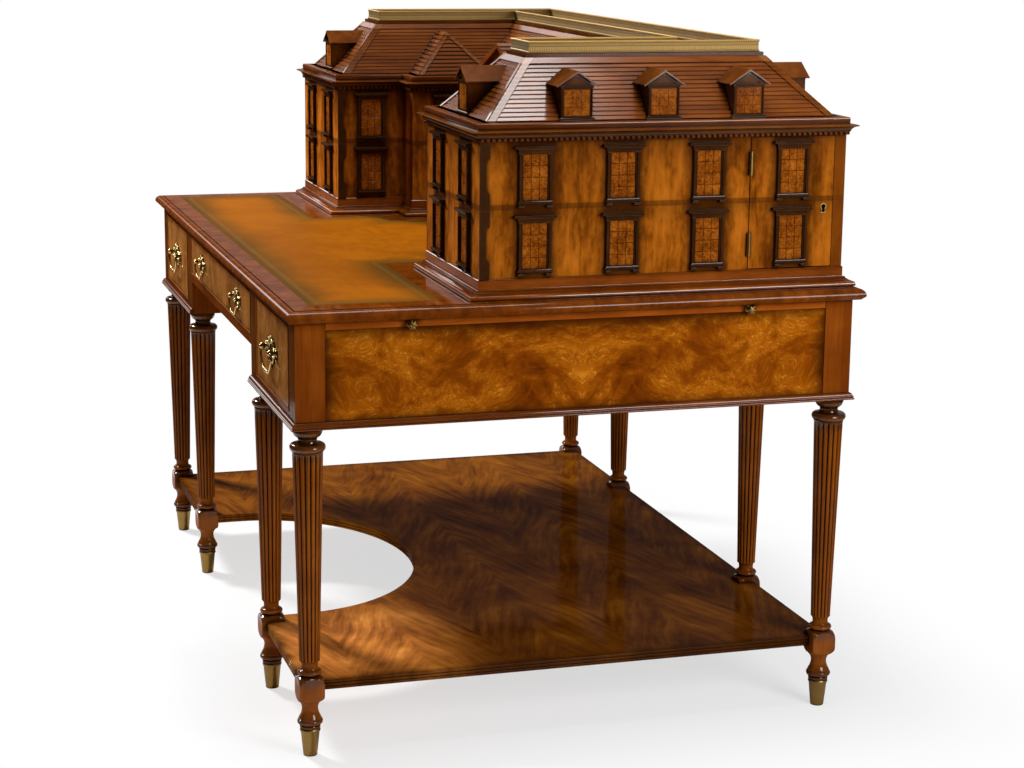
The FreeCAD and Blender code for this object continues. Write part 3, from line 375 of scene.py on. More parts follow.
def flameFinish(name, node, axes, look):
    finish, flow, shader = startFinish(name)
    at = flow.objectPlace()
    leaf = at
    if look["folded"]:
        x, y, z = at.parts()
        leaf = flow.joined(x, y.size(), z)
    sheet = leaf.swayed(*look["sway"]).swayed(*look["curl"]).stretched(*look["stretch"])
    cloud = sheet.noise(*look["cloud"])
    feather = sheet.noise(*look["feather"])
    strands = sheet.noise(*look["strands"]).waves(look["strandCount"]).between(*look["strandRun"])
    wisps = sheet.noise(*look["wisps"]).waves(look["wispCount"]).between(*look["wispRun"])
    hair = (strands + wisps * look["wispShare"]) * feather.between(*look["hairFeather"])
    fibres = sheet.noise(*look["fibres"])
    colour = weighed((cloud, feather, fibres), look["shares"]).ramp(look["stops"])
    lit = hair * cloud.between(*look["hairCloud"]) * look["hairShare"]
    colour = lit.blend(colour, solid(look["hair"]))
    if axes:
        inner = fromEdges(at, node, axes).ragged(cloud, look["edgeWander"], look["edgeRun"])
        colour = inner.blend(solid(look["edgeColour"]), colour)
    polish(flow, shader, look, colour, fibres)
    return finish


panelWood = flameFinish("flame_side_panel", "side_panel_right", "yz",
                        dict(flameLook, stretch=(0.5, 0.5, 1.0), folded=True))
backWood = flameFinish("flame_back_panel", None, "", dict(flameLook, stretch=(0.5, 0.5, 1.0)))
drawerLook = dict(flameLook, stretch=(1.0, 1.0, 0.5), edgeRun=(-0.006, 0.012), coat=0.25, hairShare=0.25,
                  stops=[(0.34, (0.135, 0.0430, 0.0070)), (0.45, (0.205, 0.0720, 0.0130)),
                         (0.55, (0.275, 0.1030, 0.0210)), (0.68, (0.360, 0.1420, 0.0320))],
                  hair=(0.45, 0.19, 0.050), edgeColour=(0.070, 0.0230, 0.0050))
drawerWood = {side: flameFinish("flame_drawer_" + side, "drawer_front_" + side, "xz", drawerLook)
              for side in ("left", "right", "centre")}


# matched leaves on the undertier: chevrons mirrored about seams that run across the width, and a painted pool
# of light on the front right of the board

shelfLook = {"leaf": 0.25, "seam": 0.225, "lean": 0.93, "run": 0.37, "bow": 0.8,
             "stops": [(0.34, (0.045, 0.0110, 0.0010)), (0.45, (0.120, 0.0320, 0.0024)),
                       (0.54, (0.215, 0.0650, 0.0046)), (0.68, (0.390, 0.1350, 0.0120))],
             "sway": (3.5, 3.0, 0.5, 0.06), "featherStretch": (1.0, 0.18, 1.0), "feather": (20.0, 4.0, 0.62),
             "hairStretch": (1.0, 0.09, 1.0), "hair": (85.0, 3.0, 0.6), "cloud": (7.0, 4.0, 0.6),
             "shares": (0.34, 0.38, 0.28), "coat": 0.07, "coatRoughness": 0.08, "paleX": (0.15, 0.58),
             "paleY": (-0.34, -0.10), "paleEnd": (0.60, 0.72), "paleFade": 0.6, "pale": (2.0, 2.5, 8.0),
             "creviceReach": 0.02, "edgeWander": 0.05, "edgeRun": (-0.01, 0.03),
             "edgeColour": (0.040, 0.0110, 0.0016)}


def shelfFinish(name, look):
    finish, flow, shader = startFinish(name)
    at = flow.objectPlace()
    x, y, z = at.swayed(*look["sway"]).parts()
    leaf = (y + look["seam"]).backAndForth(look["leaf"] / 2)
    across = leaf * look["lean"] - x * look["run"] + leaf * leaf * look["bow"]
    lined = flow.joined(across, x * look["lean"] + leaf * look["run"], 0.0)
    feather = lined.stretched(*look["featherStretch"]).noise(*look["feather"])
    hair = lined.stretched(*look["hairStretch"]).noise(*look["hair"])
    cloud = at.noise(*look["cloud"])
    colour = weighed((cloud, feather, hair), look["shares"]).ramp(look["stops"])
    x, y, z = at.parts()
    # painted light: the front right of the board is lightened and made bluer
    paintedNearLight = x.between(*look["paleX"]) * (1 - y.between(*look["paleY"])) \
        * (1 - x.between(*look["paleEnd"]) * look["paleFade"])
    colour = colour.tinted(flow.joined(*[paintedNearLight * share + 1.0 for share in look["pale"]]))
    inner = fromEdges(at, "undertier", "xy").ragged(cloud, look["edgeWander"], look["edgeRun"])
    colour = inner.blend(solid(look["edgeColour"]), colour)
    polish(flow, shader, look, colour, hair)
    return finish


shelfWood = shelfFinish("matched_flame_shelf", shelfLook)


# golden wall veneer with upright grain, darkened beside the window frames, with painted shade towards the top
# of each storey, painted light on the faces that look along y, and an inlaid string course

wallLook = {"stops": [(0.37, (0.105, 0.0240, 0.0014)), (0.45, (0.215, 0.0550, 0.0030)),
                      (0.52, (0.345, 0.0960, 0.0056)), (0.63, (0.470, 0.1360, 0.0090))],
            "sway": (7.0, 2.0, 0.5, 0.03), "blazeStretch": (1.0, 1.0, 0.30), "blaze": (22.0, 3.0, 0.6),
            "fibreStretch": (1.0, 1.0, 0.06), "fibres": (160.0, 3.0, 0.65),
            "mottleStretch": (1.0, 1.0, 0.5), "mottle": (90.0, 3.0, 0.6), "shares": (0.55, 0.2, 0.25),
            "edgeColour": (0.020, 0.0060, 0.0014), "creviceReach": 0.020, "creviceLow": 0.45,
            "creviceHigh": 0.97, "coat": 0.12, "halfFrame": 0.0285, "haloWander": 0.02,
            "haloRun": (-0.004, 0.026), "haloColour": (0.075, 0.0185, 0.0024), "haloShare": 0.8,
            "outerFrom": 0.55, "sidePitch": 0.15367, "sideFirst": -0.0788, "innerFirst": -0.1028,
            "frontPitch": 0.168, "frontFirst": 0.458, "stringLow": 0.9157, "stringHigh": 0.9250,
            "stringColour": (0.050, 0.0130, 0.0024), "stringShare": 0.55, "stileX": 0.6, "stileY": 0.4600,
            "stileColour": (0.130, 0.0300, 0.0028), "stileShare": 0.8, "yFacingLightTint": (1.2, 1.25, 1.6),
            "storeys": [(0.0, (1.0, 1.0, 1.0)), (0.16, (1.15, 1.15, 1.2)), (0.40, (0.95, 0.95, 1.0)),
                        (0.50, (0.70, 0.70, 0.8)), (0.56, (1.08, 1.08, 1.1)), (0.74, (1.05, 1.05, 1.1)),
                        (0.90, (0.72, 0.70, 0.8)), (1.0, (0.45, 0.45, 0.6))]}


def wallFinish(name, look):
    finish, flow, shader = startFinish(name)
    at = flow.objectPlace()
    x, y, z = at.parts()
    swung = at.swayed(*look["sway"])
    blaze = swung.stretched(*look["blazeStretch"]).noise(*look["blaze"])
    fibres = swung.stretched(*look["fibreStretch"]).noise(*look["fibres"])
    mottle = swung.stretched(*look["mottleStretch"]).noise(*look["mottle"])
    colour = weighed((blaze, fibres, mottle), look["shares"]).ramp(look["stops"])
    # painted shade: each storey darkens towards its top, most under the cornice
    colour = colour.tinted(upShare(at, "wing_walls").ramp(look["storeys"]))
    course = z.over(look["stringLow"]) * (1 - z.over(look["stringHigh"]))
    colour = (course * look["stringShare"]).blend(colour, solid(look["stringColour"]))
    stile = y.over(look["stileY"]) * x.size().over(look["stileX"])
    colour = (stile * look["stileShare"]).blend(colour, solid(look["stileColour"]))
    # painted light: faces that do not look along x are made brighter and bluer
    turned = flow.facing(0)
    colour = turned.blend(colour.tinted(look["yFacingLightTint"]), colour)
    first = x.size().over(look["outerFrom"]) * (look["sideFirst"] - look["innerFirst"]) + look["innerFirst"]
    besideX = (y - first).backAndForth(look["sidePitch"] / 2)
    besideY = (x.size() - look["frontFirst"]).backAndForth(look["frontPitch"] / 2)
    beside = besideY + (besideX - besideY) * turned
    clear = (beside - look["halfFrame"]).ragged(mottle, look["haloWander"], look["haloRun"])
    colour = ((1 - clear) * look["haloShare"]).blend(colour, solid(look["haloColour"]))
    polish(flow, shader, look, colour, fibres)
    return finish


wallWood = wallFinish("golden_wall_veneer", wallLook)


# burl in the windows

burlLook = {"stops": [(0.37, (0.090, 0.0190, 0.0016)), (0.48, (0.195, 0.0460, 0.0034)),
                      (0.57, (0.300, 0.0800, 0.0062)), (0.70, (0.450, 0.1400, 0.0140))],
            "swirl": (70.0, 2.0, 0.5), "knotSwirl": 0.006, "knotScale": 260.0, "knotSoftness": 0.7,
            "speckleSwirl": 0.01, "speckle": (330.0, 3.0, 0.7), "cloud": (40.0, 3.0, 0.6),
            "shares": (0.2, 0.4, 0.45), "edgeColour": (0.030, 0.0080, 0.0018), "creviceReach": 0.007,
            "creviceLow": 0.35, "creviceHigh": 0.95, "coat": 0.12}


def burlFinish(name, look):
    finish, flow, shader = startFinish(name)
    at = flow.objectPlace()
    swirl = at.noise(*look["swirl"], "Color")
    knots = flow.node("TexVoronoi", {"feature": "SMOOTH_F1"},
                      {"Vector": at.shifted(swirl, look["knotSwirl"]), "Scale": look["knotScale"],
                       "Smoothness": look["knotSoftness"]}, "Distance")
    speckle = at.shifted(swirl, look["speckleSwirl"]).noise(*look["speckle"])
    cloud = at.noise(*look["cloud"])
    colour = weighed((knots, speckle, cloud), look["shares"]).ramp(look["stops"])
    polish(flow, shader, look, colour, speckle)
    return finish


burlWood = burlFinish("burl_panes", burlLook)


# crossbanded border of the top: the grain runs square to the nearest edge

bandLook = {"stops": toned(redBrown, 0.85), "sway": (6.0, 2.0, 0.5, 0.03), "sideStretch": (0.15, 1.0, 0.6),
            "frontStretch": (1.0, 0.15, 0.6), "bands": fineBands, "cloud": (22.0, 4.0, 0.62),
            "shares": (0.45, 0.55), "creviceReach": 0.010, "coat": 0.35, "coatRoughness": 0.08,
            "wearAndGlint": 0.12, "edgeRadius": 0.0008}


def bandingFinish(name, look):
    finish, flow, shader = startFinish(name)
    at = flow.objectPlace()
    x, y, z = at.parts()
    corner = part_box("desk_top")[1]
    endBand = (corner.y - y.size()).over(corner.x - x.size())
    swung = at.swayed(*look["sway"])
    alongX = swung.stretched(*look["sideStretch"]).noise(*look["bands"])
    alongY = swung.stretched(*look["frontStretch"]).noise(*look["bands"])
    bands = alongY + (alongX - alongY) * endBand
    cloud = at.noise(*look["cloud"])
    polish(flow, shader, look, weighed((bands, cloud), look["shares"]).ramp(look["stops"]), bands)
    return finish


topWood = bandingFinish("crossbanded_border", bandLook)


# hide darker towards the edges of its outline, and a tooled gilt border that follows the outline

leatherPlan = {"wingBack": -238.2, "wingHalf": 309.0, "pavilionBack": -93.7, "pavilionHalf": 240.0}
leatherLook = {"middle": (0.300, 0.0870, 0.0016), "blotch": (0.225, 0.0610, 0.0012),
               "edge": (0.088, 0.0400, 0.0036), "gilt": (0.26, 0.145, 0.035), "giltShare": 0.38,
               "giltMetal": 0.3, "giltSink": 0.8, "lines": (0.0135, 0.0185), "lineHalf": 0.0011,
               "toolHalf": 0.0022, "toolPitch": 0.0056, "toolGap": 0.2, "lineRun": (0.6, 1.0),
               "edgeWander": 0.06, "edgeRun": (-0.01, 0.085), "cloud": (5.0, 4.0, 0.6),
               "mottleStretch": (0.5, 1.0, 1.0), "mottle": (60.0, 3.0, 0.6), "shares": (0.7, 0.3),
               "blotchRun": (0.36, 0.62), "poreScale": 900.0, "poreDepth": 0.0003, "poreStrength": 0.4,
               "mottleRoughness": 0.2, "roughness": 0.38, "specular": 0.009}


def leatherSteps(low, high):
    # half width, front and back of the three boxes that make up the outline, in metres
    wing, pavilion = leatherPlan["wingBack"] * mm, leatherPlan["pavilionBack"] * mm
    return [(high.x, low.y, wing), (leatherPlan["wingHalf"] * mm, low.y, pavilion),
            (leatherPlan["pavilionHalf"] * mm, low.y, high.y)]


def leatherFinish(name, look):
    finish, flow, shader = startFinish(name)
    at = flow.objectPlace()
    x, y, z = at.parts()
    side = x.size()
    inside = None
    for halfX, lowY, highY in leatherSteps(*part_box("leather_inset")):
        room = (halfX - side).least(y - lowY).least(highY - y)
        inside = room if inside is None else inside.most(room)
    cloud = at.noise(*look["cloud"])
    mottle = at.stretched(*look["mottleStretch"]).noise(*look["mottle"])
    pores = flow.node("TexVoronoi", None, {"Vector": at, "Scale": look["poreScale"]}, "Distance")
    blotches = weighed((cloud, mottle), look["shares"]).between(*look["blotchRun"])
    colour = blotches.blend(solid(look["blotch"]), solid(look["middle"]))
    shade = inside.ragged(cloud, look["edgeWander"], look["edgeRun"])
    colour = shade.blend(solid(look["edge"]), colour)
    first, second = look["lines"]
    fine = 1 - ((inside - first).size() / look["lineHalf"]).between(*look["lineRun"])
    beads = (x + y).backAndForth(look["toolPitch"] / 2).over(look["toolPitch"] * look["toolGap"])
    stamped = (1 - ((inside - second).size() / look["toolHalf"]).between(*look["lineRun"])) * beads
    gilt = fine.most(stamped)
    colour = (gilt * look["giltShare"]).blend(colour, solid(look["gilt"]))
    relief = flow.node("Bump", None, {"Height": pores - gilt * look["giltSink"],
                                      "Distance": look["poreDepth"], "Strength": look["poreStrength"]})
    setShader(flow, shader, {
        "Base Color": colour, "Roughness": mottle * look["mottleRoughness"] + look["roughness"],
        "Metallic": gilt * look["giltMetal"], "Specular IOR Level": look["specular"], "Normal": relief})
    return finish


leather = leatherFinish("tooled_leather", leatherLook)


# brass, bright where it is handled and dark in the hollows

brassLook = {"patina": (70.0, 4.0, 0.65), "patinaShare": 0.5, "patinaBase": 0.6, "patinaRoughness": 0.2,
             "scratchStretch": (1.0, 1.0, 0.2), "scratch": (600.0, 2.0, 0.6), "scratchDepth": 0.00006,
             "scratchStrength": 0.4, "wornRun": (0.3, 0.9), "metal": 1.0}


def brassFinish(name, look):
    look = dict(brassLook, **look)
    finish, flow, shader = startFinish(name)
    at = flow.objectPlace()
    patina = at.noise(*look["patina"])
    scratch = at.stretched(*look["scratchStretch"]).noise(*look["scratch"])
    worn = flow.hollows(look["creviceReach"]).between(*look["wornRun"])
    bright = worn * (patina * look["patinaShare"] + look["patinaBase"])
    colour = bright.blend(solid(look["dark"]), solid(look["bright"]))
    if "levels" in look:
        # painted highlights on the rims, painted shade in the groove under the cove and between the ribs of
        # the band
        x, y, z = at.parts()
        up = upShare(at, look["levelNode"])
        halfRib = look["ribPitch"] / 2
        between = (x + y).backAndForth(halfRib).between(0.0, halfRib)
        ribShade = between * (1 - up.between(*look["bandTop"])) * look["ribShade"]
        colour = ribShade.blend(colour.tinted(up.ramp(look["levels"])), solid(look["dark"]))
    relief = flow.node("Bump", None, {"Height": scratch, "Distance": look["scratchDepth"],
                                      "Strength": look["scratchStrength"]})
    setShader(flow, shader, {"Base Color": colour, "Metallic": look["metal"], "Normal": relief,
                             "Roughness": patina * look["patinaRoughness"] + look["roughness"]})
    return finish


brassBright = brassFinish("polished_brass", {
    "bright": (0.58, 0.37, 0.115), "dark": (0.032, 0.018, 0.005), "creviceReach": 0.007, "roughness": 0.14})
brassCast = brassFinish("cast_brass", {
    "bright": (0.46, 0.29, 0.085), "dark": (0.022, 0.012, 0.003), "creviceReach": 0.010, "roughness": 0.18})
brassAged = brassFinish("aged_brass", {
    "bright": (0.29, 0.175, 0.048), "dark": (0.050, 0.028, 0.008), "creviceReach": 0.006, "roughness": 0.28})
brassOlive = brassFinish("gallery_brass", {
    "bright": (0.32, 0.190, 0.042), "dark": (0.050, 0.028, 0.006), "creviceReach": 0.003, "roughness": 0.42,
    "metal": 0.55, "ribPitch": 0.0042, "ribShade": 0.5, "bandTop": (0.52, 0.58), "levelNode": "brass_gallery",
    "levels": [(0.0, (0.5, 0.5, 0.5)), (0.10, (1.05, 1.05, 1.1)), (0.50, (1.2, 1.2, 1.3)),
               (0.55, (0.35, 0.35, 0.35)), (0.61, (0.7, 0.7, 0.65)), (0.84, (0.75, 0.75, 0.7)),
               (0.90, (1.5, 1.5, 1.6)), (1.0, (1.3, 1.3, 1.3))]})
print("finishes made:", len(bpy.data.materials))


# shapes

class Carving:
    def __init__(self):
        self.points = []
        self.faces = []

    def loft(self, loops, joined=False):
        start = len(self.points)
        count = len(loops[0])
        total = len(loops)
        for loop in loops:
            self.points.extend(loop)
        for ring in range(total if joined else total - 1):
            low = start + ring * count
            high = start + (ring + 1) % total * count
            for step in range(count):
                after = (step + 1) % count
                self.faces.append((low + step, low + after, high + after, high + step))
        if not joined:
            self.faces.append(tuple(range(start + count - 1, start - 1, -1)))
            self.faces.append(tuple(range(start + (total - 1) * count, start + total * count)))

    def lathe(self, profile, place, sides):
        turns = [2 * math.pi * step / sides for step in range(sides)]
        self.loft([[place(radius * math.cos(turn), radius * math.sin(turn), height) for turn in turns]
                   for radius, height in profile])

    def prism(self, outline, place, low, high):
        self.loft([[place(a, b, low) for a, b in outline], [place(a, b, high) for a, b in outline]])

    def raised(self, place, steps):
        # a block that stands out from a wall: steps are (left, right, reach, low, high)
        self.loft([[place(left, out, low), place(right, out, low), place(right, out, high),
                    place(left, out, high)] for left, right, out, low, high in steps])

    def skirt(self, outline, low, high):
        # an upright sheet along a closed outline
        start, count = len(self.points), len(outline)
        self.points += [(x, y, height) for height in (low, high) for x, y in outline]
        for step in range(count):
            after = (step + 1) % count
            self.faces.append((start + step, start + after, start + count + after, start + count + step))

    def stepped(self, place, half, depth, steps):
        # a moulding on a wall, mitred at both ends: steps are (reach, height)
        loops = []
        for reach, height in steps:
            side = half + reach
            front = depth + reach
            loops.append([place(-side, 0, height), place(side, 0, height), place(side, front, height),
                          place(-side, front, height)])
        self.loft(loops)

    def tube(self, path, radii, sides=10):
        points = [Vector(point) for point in path]
        turns = [2 * math.pi * step / sides for step in range(sides)]
        loops = []
        normal = None
        for index, point in enumerate(points):
            before = points[max(index - 1, 0)]
            after = points[min(index + 1, len(points) - 1)]
            along = (after - before).normalized()
            if normal is None:
                normal = along.orthogonal().normalized()
            normal = (normal - along * normal.dot(along)).normalized()
            across = along.cross(normal)
            loops.append([tuple(point + (normal * math.cos(turn) + across * math.sin(turn)) * radii[index])
                          for turn in turns])
        self.loft(loops)

    def mesh(self, name):
        made = bpy.data.meshes.new(name)
        made.from_pydata([tuple(value * mm for value in point) for point in self.points], [], self.faces)
        return made

    def finish(self, name, look, body, slot, replaced=(), crease=34):
        mesh = self.mesh(name)
        tidy = bmesh.new()
        tidy.from_mesh(mesh)
        bmesh.ops.recalc_face_normals(tidy, faces=tidy.faces)
        tidy.to_mesh(mesh)
        tidy.free()
        mesh.shade_smooth()
        mesh.set_sharp_from_angle(angle=math.radians(crease))
        mesh.materials.append(look)
        piece = bpy.data.objects.new(name, mesh)
        bpy.context.scene.collection.objects.link(piece)
        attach(piece, body)
        if replaced:
            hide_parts(*replaced)


def span(node):
    low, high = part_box(node)
    return low / mm, high / mm


def solidsOf(node):
    # the box of each separate solid of a node, in millimetres
    fine = 100
    mesh = nodes[node].data
    spots = [tuple(round(value / mm * fine) for value in vertex.co) for vertex in mesh.vertices]
    home = {spot: spot for spot in spots}

    def root(spot):
        while home[spot] != spot:
            home[spot] = home[home[spot]]
            spot = home[spot]
        return spot

    for face in mesh.polygons:
        first = root(spots[face.vertices[0]])
        for index in face.vertices[1:]:
            home[root(spots[index])] = first
    groups = {}
    for spot in home:
        groups.setdefault(root(spot), []).append(spot)
    boxes = []
    for group in groups.values():
        columns = list(zip(*group))
        boxes.append((Vector([min(column) / fine for column in columns]),
                      Vector([max(column) / fine for column in columns])))
    return sorted(boxes, key=lambda box: tuple(box[0]))


def nearest(boxes, spot):
    return min(boxes, key=lambda box: ((box[0] + box[1]) / 2 - spot).length)


def wallPlace(x, y, normal):
    # u runs along the wall, w stands out from it
    nx, ny = normal
    return lambda u, w, z: (x - u * ny + w * nx, y + u * nx + w * ny, z)


def lifted(place, level, share=1.0):
    # the same wall measured from a level, at a share of the size
    return lambda u, w, z: place(u * share, w * share, z * share + level)


def standing(x, y):
    return lambda a, b, h: (x + a, y + b, h)


bothSides = (("left", -1), ("right", 1))


def halfRound(radius, reach, high, low, steps=8):
    ring = []
    for step in range(steps + 1):
        turn = math.pi * step / steps
        ring.append((radius + reach * math.sin(turn), high + (low - high) * (1 - math.cos(turn)) / 2))
    return ring


# legs: round cap, collar, reeded taper, square block with turned-away corners, bell foot

legShape = {"reeds": 16, "samples": 8, "reedDepth": 0.17, "blockHalf": 21.5,
            "cap": [(24.2, 0.0), (25.0, -0.8), (25.0, -7.2), (24.3, -8.0), (24.0, -9.6), (22.9, -12.2),
                    (20.9, -14.6), (18.2, -16.4), (16.6, -17.6), (15.9, -20.0), (15.9, -22.5), (16.8, -25.0),
                    (20.0, -26.6)],
            "collar": (24.6, 5.4, -27.0, -40.0), "fillet": [(26.0, -40.3), (26.0, -43.0)],
            "shaftTop": -43.2, "shaftTopRadius": 25.5, "shaftBottom": 168.0, "shaftBottomRadius": 17.4,
            "reedEnds": [(0.0, 0.0), (0.6, 0.45), (1.8, 0.75), (4.0, 0.94), (7.0, 1.0)],
            "neck": [(16.2, 167.2), (14.6, 165.2), (13.7, 162.0), (13.5, 158.4), (14.0, 155.2),
                     (15.2, 153.0)],
            "bead": (15.6, 4.9, 152.6, 143.6), "rest": [(16.4, 143.0), (18.6, 141.4)],
            "block": [(20.0, 140.5), (23.8, 139.2), (26.8, 136.8), (29.2, 133.4), (30.4, 129.0),
                      (30.4, 110.0), (29.2, 105.6), (26.8, 102.2), (23.8, 99.8), (20.0, 98.5)],
            "foot": [(19.0, 97.0), (16.2, 93.6), (14.4, 90.0), (13.6, 85.5), (13.8, 81.6), (14.7, 77.4),
                     (16.2, 73.4), (18.1, 69.8), (19.5, 67.0), (19.7, 65.6)],
            "ring": (19.6, 2.1, 65.0, 57.2),
            "toe": [(18.2, 56.4), (16.4, 55.2), (17.0, 54.4), (17.6, 52.6), (17.4, 50.6), (16.4, 49.2),
                    (15.6, 48.6), (14.4, 48.5), (14.4, 40.0)]}


def plainRings(steps, lift=0.0, square=False):
    return [(radius, lift + height, 0.0, square) for radius, height in steps]


def legRings(top):
    # (radius, height, depth of the reeds, squared or round) from the cap to the toe
    shape = legShape
    rings = plainRings(shape["cap"], top) + plainRings(halfRound(*shape["collar"]), top)
    rings += plainRings(shape["fillet"], top)
    shaftTop = top + shape["shaftTop"]
    length = shaftTop - shape["shaftBottom"]
    thick, thin = shape["shaftTopRadius"], shape["shaftBottomRadius"]
    ends = shape["reedEnds"] + [(length - down, depth) for down, depth in reversed(shape["reedEnds"])]
    for down, depth in ends:
        rings.append((thick + (thin - thick) * down / length, shaftTop - down, depth, False))
    rings += plainRings(shape["neck"]) + plainRings(halfRound(*shape["bead"])) + plainRings(shape["rest"])
    rings += plainRings(shape["block"], square=True) + plainRings(shape["foot"])
    return rings + plainRings(halfRound(*shape["ring"])) + plainRings(shape["toe"])


def legPiece(node):
    low, high = span(node)
    x, y = (low.x + high.x) / 2, (low.y + high.y) / 2
    count = legShape["reeds"] * legShape["samples"]
    loops = []
    for radius, height, reeding, square in legRings(high.z):
        loop = []
        for step in range(count):
            turn = 2 * math.pi * step / count
            across = 2 * (step % legShape["samples"]) / legShape["samples"] - 1
            groove = 1 - math.sqrt(max(0.0, 1 - across * across))
            reach = radius * (1 - legShape["reedDepth"] * reeding * groove)
            if square:
                reach = min(reach, legShape["blockHalf"] / max(abs(math.cos(turn)), abs(math.sin(turn))))
            loop.append((x + reach * math.cos(turn), y + reach * math.sin(turn), height))
        loops.append(loop)
    carving = Carving()
    carving.loft(loops)
    carving.finish(node + "_turned", turnedWood, "desk", "mahogany", [node], crease=38)


for node in sorted(nodes):
    if node.startswith("leg_"):
        legPiece(node)

ferrule = {"sides": 56,
           "steps": [(11.1, 0.0), (11.9, 0.8), (16.0, 42.4), (16.5, 43.4), (17.3, 44.0), (17.6, 45.8),
                     (17.3, 47.4), (16.4, 48.5), (14.5, 48.5), (14.5, 39.0)]}
ferrules = Carving()
for low, high in solidsOf("brass_ferrules"):
    place = standing((low.x + high.x) / 2, (low.y + high.y) / 2)
    ferrules.lathe(ferrule["steps"], place, ferrule["sides"])
ferrules.finish("ferrule_cups", brassAged, "desk", "brass", ["brass_ferrules"])
print("legs turned")


# undertier: reeded edge, kneehole cut-out

shelf = {"straight": 77.0, "cutHalf": 350.5, "cutDepth": 284.0, "arcSteps": 48, "reeds": 3, "reedReach": 1.9,
         "reedSteps": 6, "lip": 0.9}


def shelfOutline(low, high):
    arcY = low.y + shelf["straight"]
    outline = [(low.x, low.y), (-shelf["cutHalf"], low.y)]
    for step in range(shelf["arcSteps"] + 1):
        turn = math.pi * (1 - step / shelf["arcSteps"])
        outline.append((shelf["cutHalf"] * math.cos(turn), arcY + shelf["cutDepth"] * math.sin(turn)))
    outline += [(shelf["cutHalf"], low.y), (high.x, low.y), (high.x, high.y), (low.x, high.y)]
    return outline


def drawnIn(outline, inset):
    # the outline, counter-clockwise, moved inwards
    moved = []
    count = len(outline)
    for index, point in enumerate(outline):
        before, after = Vector(outline[index - 1]), Vector(outline[(index + 1) % count])
        here = Vector(point)
        back = (here - before).normalized()
        on = (after - here).normalized()
        first, second = Vector((-back.y, back.x)), Vector((-on.y, on.x))
        mitre = (first + second) / (1 + first.dot(second))
        moved.append(tuple(here + mitre * inset))
    return moved


shelfLow, shelfHigh = span("undertier")
outline = shelfOutline(shelfLow, shelfHigh)
reedHeight = (shelfHigh.z - shelfLow.z) / shelf["reeds"]
edge = [(shelf["reedReach"] + shelf["lip"], shelfLow.z)]
for reed in range(shelf["reeds"]):
    low = shelfLow.z + reed * reedHeight
    for step in range(shelf["reedSteps"] + 1):
        turn = math.pi * step / shelf["reedSteps"]
        edge.append((shelf["reedReach"] * (1 - math.sin(turn)), low + reedHeight * (1 - math.cos(turn)) / 2))
edge.append((shelf["reedReach"] + shelf["lip"], shelfHigh.z))
board = Carving()
board.loft([[(x, y, height) for x, y in drawnIn(outline, inset)] for inset, height in edge])
board.finish("undertier_board", shelfWood, "desk", "flame_mahogany", ["undertier"], crease=50)
print("undertier shaped")


# handles: cast scrolled plates, round posts and swan-neck bails, drawn for one width and scaled to each plate

handle = {"spread": 38.0, "raise": 6.0, "plateWidth": 112.0, "lay": 1.7, "bossSides": 28,
          "boss": [(9.2, 0.0), (9.4, 1.4), (8.4, 2.8), (5.6, 3.6), (4.3, 5.0), (4.3, 6.6), (5.6, 8.0),
                   (6.2, 9.6), (6.2, 11.4), (5.4, 13.4), (4.0, 14.8), (3.4, 15.2), (3.3, 16.0), (2.2, 16.8),
                   (0.4, 17.0)],
          "button": [(4.6, 0.0), (4.4, 2.4), (3.2, 4.4), (1.4, 5.4), (0.3, 5.6)],
          "buttonHeight": -4.0, "buttonSides": 24,
          "drop": [(2.6, 0.0), (2.5, 2.0), (1.4, 3.6), (0.3, 4.0)], "dropHeight": -25.5,
          "dropSides": 16,
          "petals": [(-0.9, 11.0), (-0.45, 13.0), (0.0, 14.5), (0.45, 13.0), (0.9, 11.0)],
          "petalRoot": -3.0, "petalRadii": (0.8, 1.7, 2.5, 2.9, 2.3, 0.7)}
scrolls = [
    # points of one side of the plate (across, height), thick end, thin end
    ([(2.0, 21.0), (9.0, 24.0), (17.0, 21.0), (22.0, 14.0), (30.0, 10.0), (37.0, 8.0)], 2.2, 2.6),
    ([(17.0, 21.0), (22.5, 23.5), (25.0, 20.0), (22.5, 17.5), (20.5, 19.5)], 1.9, 1.3),
    ([(37.0, 4.0), (31.0, -3.0), (24.0, -6.0), (17.0, -4.0), (12.0, 1.0)], 2.6, 2.0),
    ([(24.0, -6.0), (22.0, -13.0), (15.0, -17.0), (8.0, -15.0), (8.0, -10.0), (12.0, -9.0)], 2.4, 1.4),
    ([(38.0, 6.0), (45.0, 11.0), (51.0, 10.0), (54.0, 5.0), (51.0, 2.5)], 2.6, 1.2),
    ([(38.0, 6.0), (44.0, 1.0), (49.0, -3.0), (47.0, -7.0), (43.5, -5.5)], 2.2, 1.1),
    ([(12.0, 1.0), (14.0, 8.0), (11.0, 15.0), (4.0, 18.5)], 2.0, 2.2),
    ([(8.0, -15.0), (5.0, -21.0), (1.0, -28.0)], 2.2, 1.0),
    ([(3.0, 19.0), (6.5, 24.5), (5.0, 29.0), (1.0, 30.0)], 1.9, 1.2),
    ([(3.0, 19.0), (10.0, 27.5), (13.0, 26.0)], 1.5, 0.9)]


def curve(points, steps=7):
    # a smooth line through a few points
    ends = [points[0]] + list(points) + [points[-1]]
    line = []
    for a, b, c, d in zip(ends, ends[1:], ends[2:], ends[3:]):
        for step in range(steps):
            t = step / steps
            line.append(tuple(0.5 * (2 * q + (r - p) * t + (2 * p - 5 * q + 4 * r - s) * t * t
                                     + (3 * q - p - 3 * r + s) * t ** 3) for p, q, r, s in zip(a, b, c, d)))
    line.append(tuple(points[-1]))
    return line


def tapering(count, thick, thin):
    return [thick + (thin - thick) * step / (count - 1) for step in range(count)]


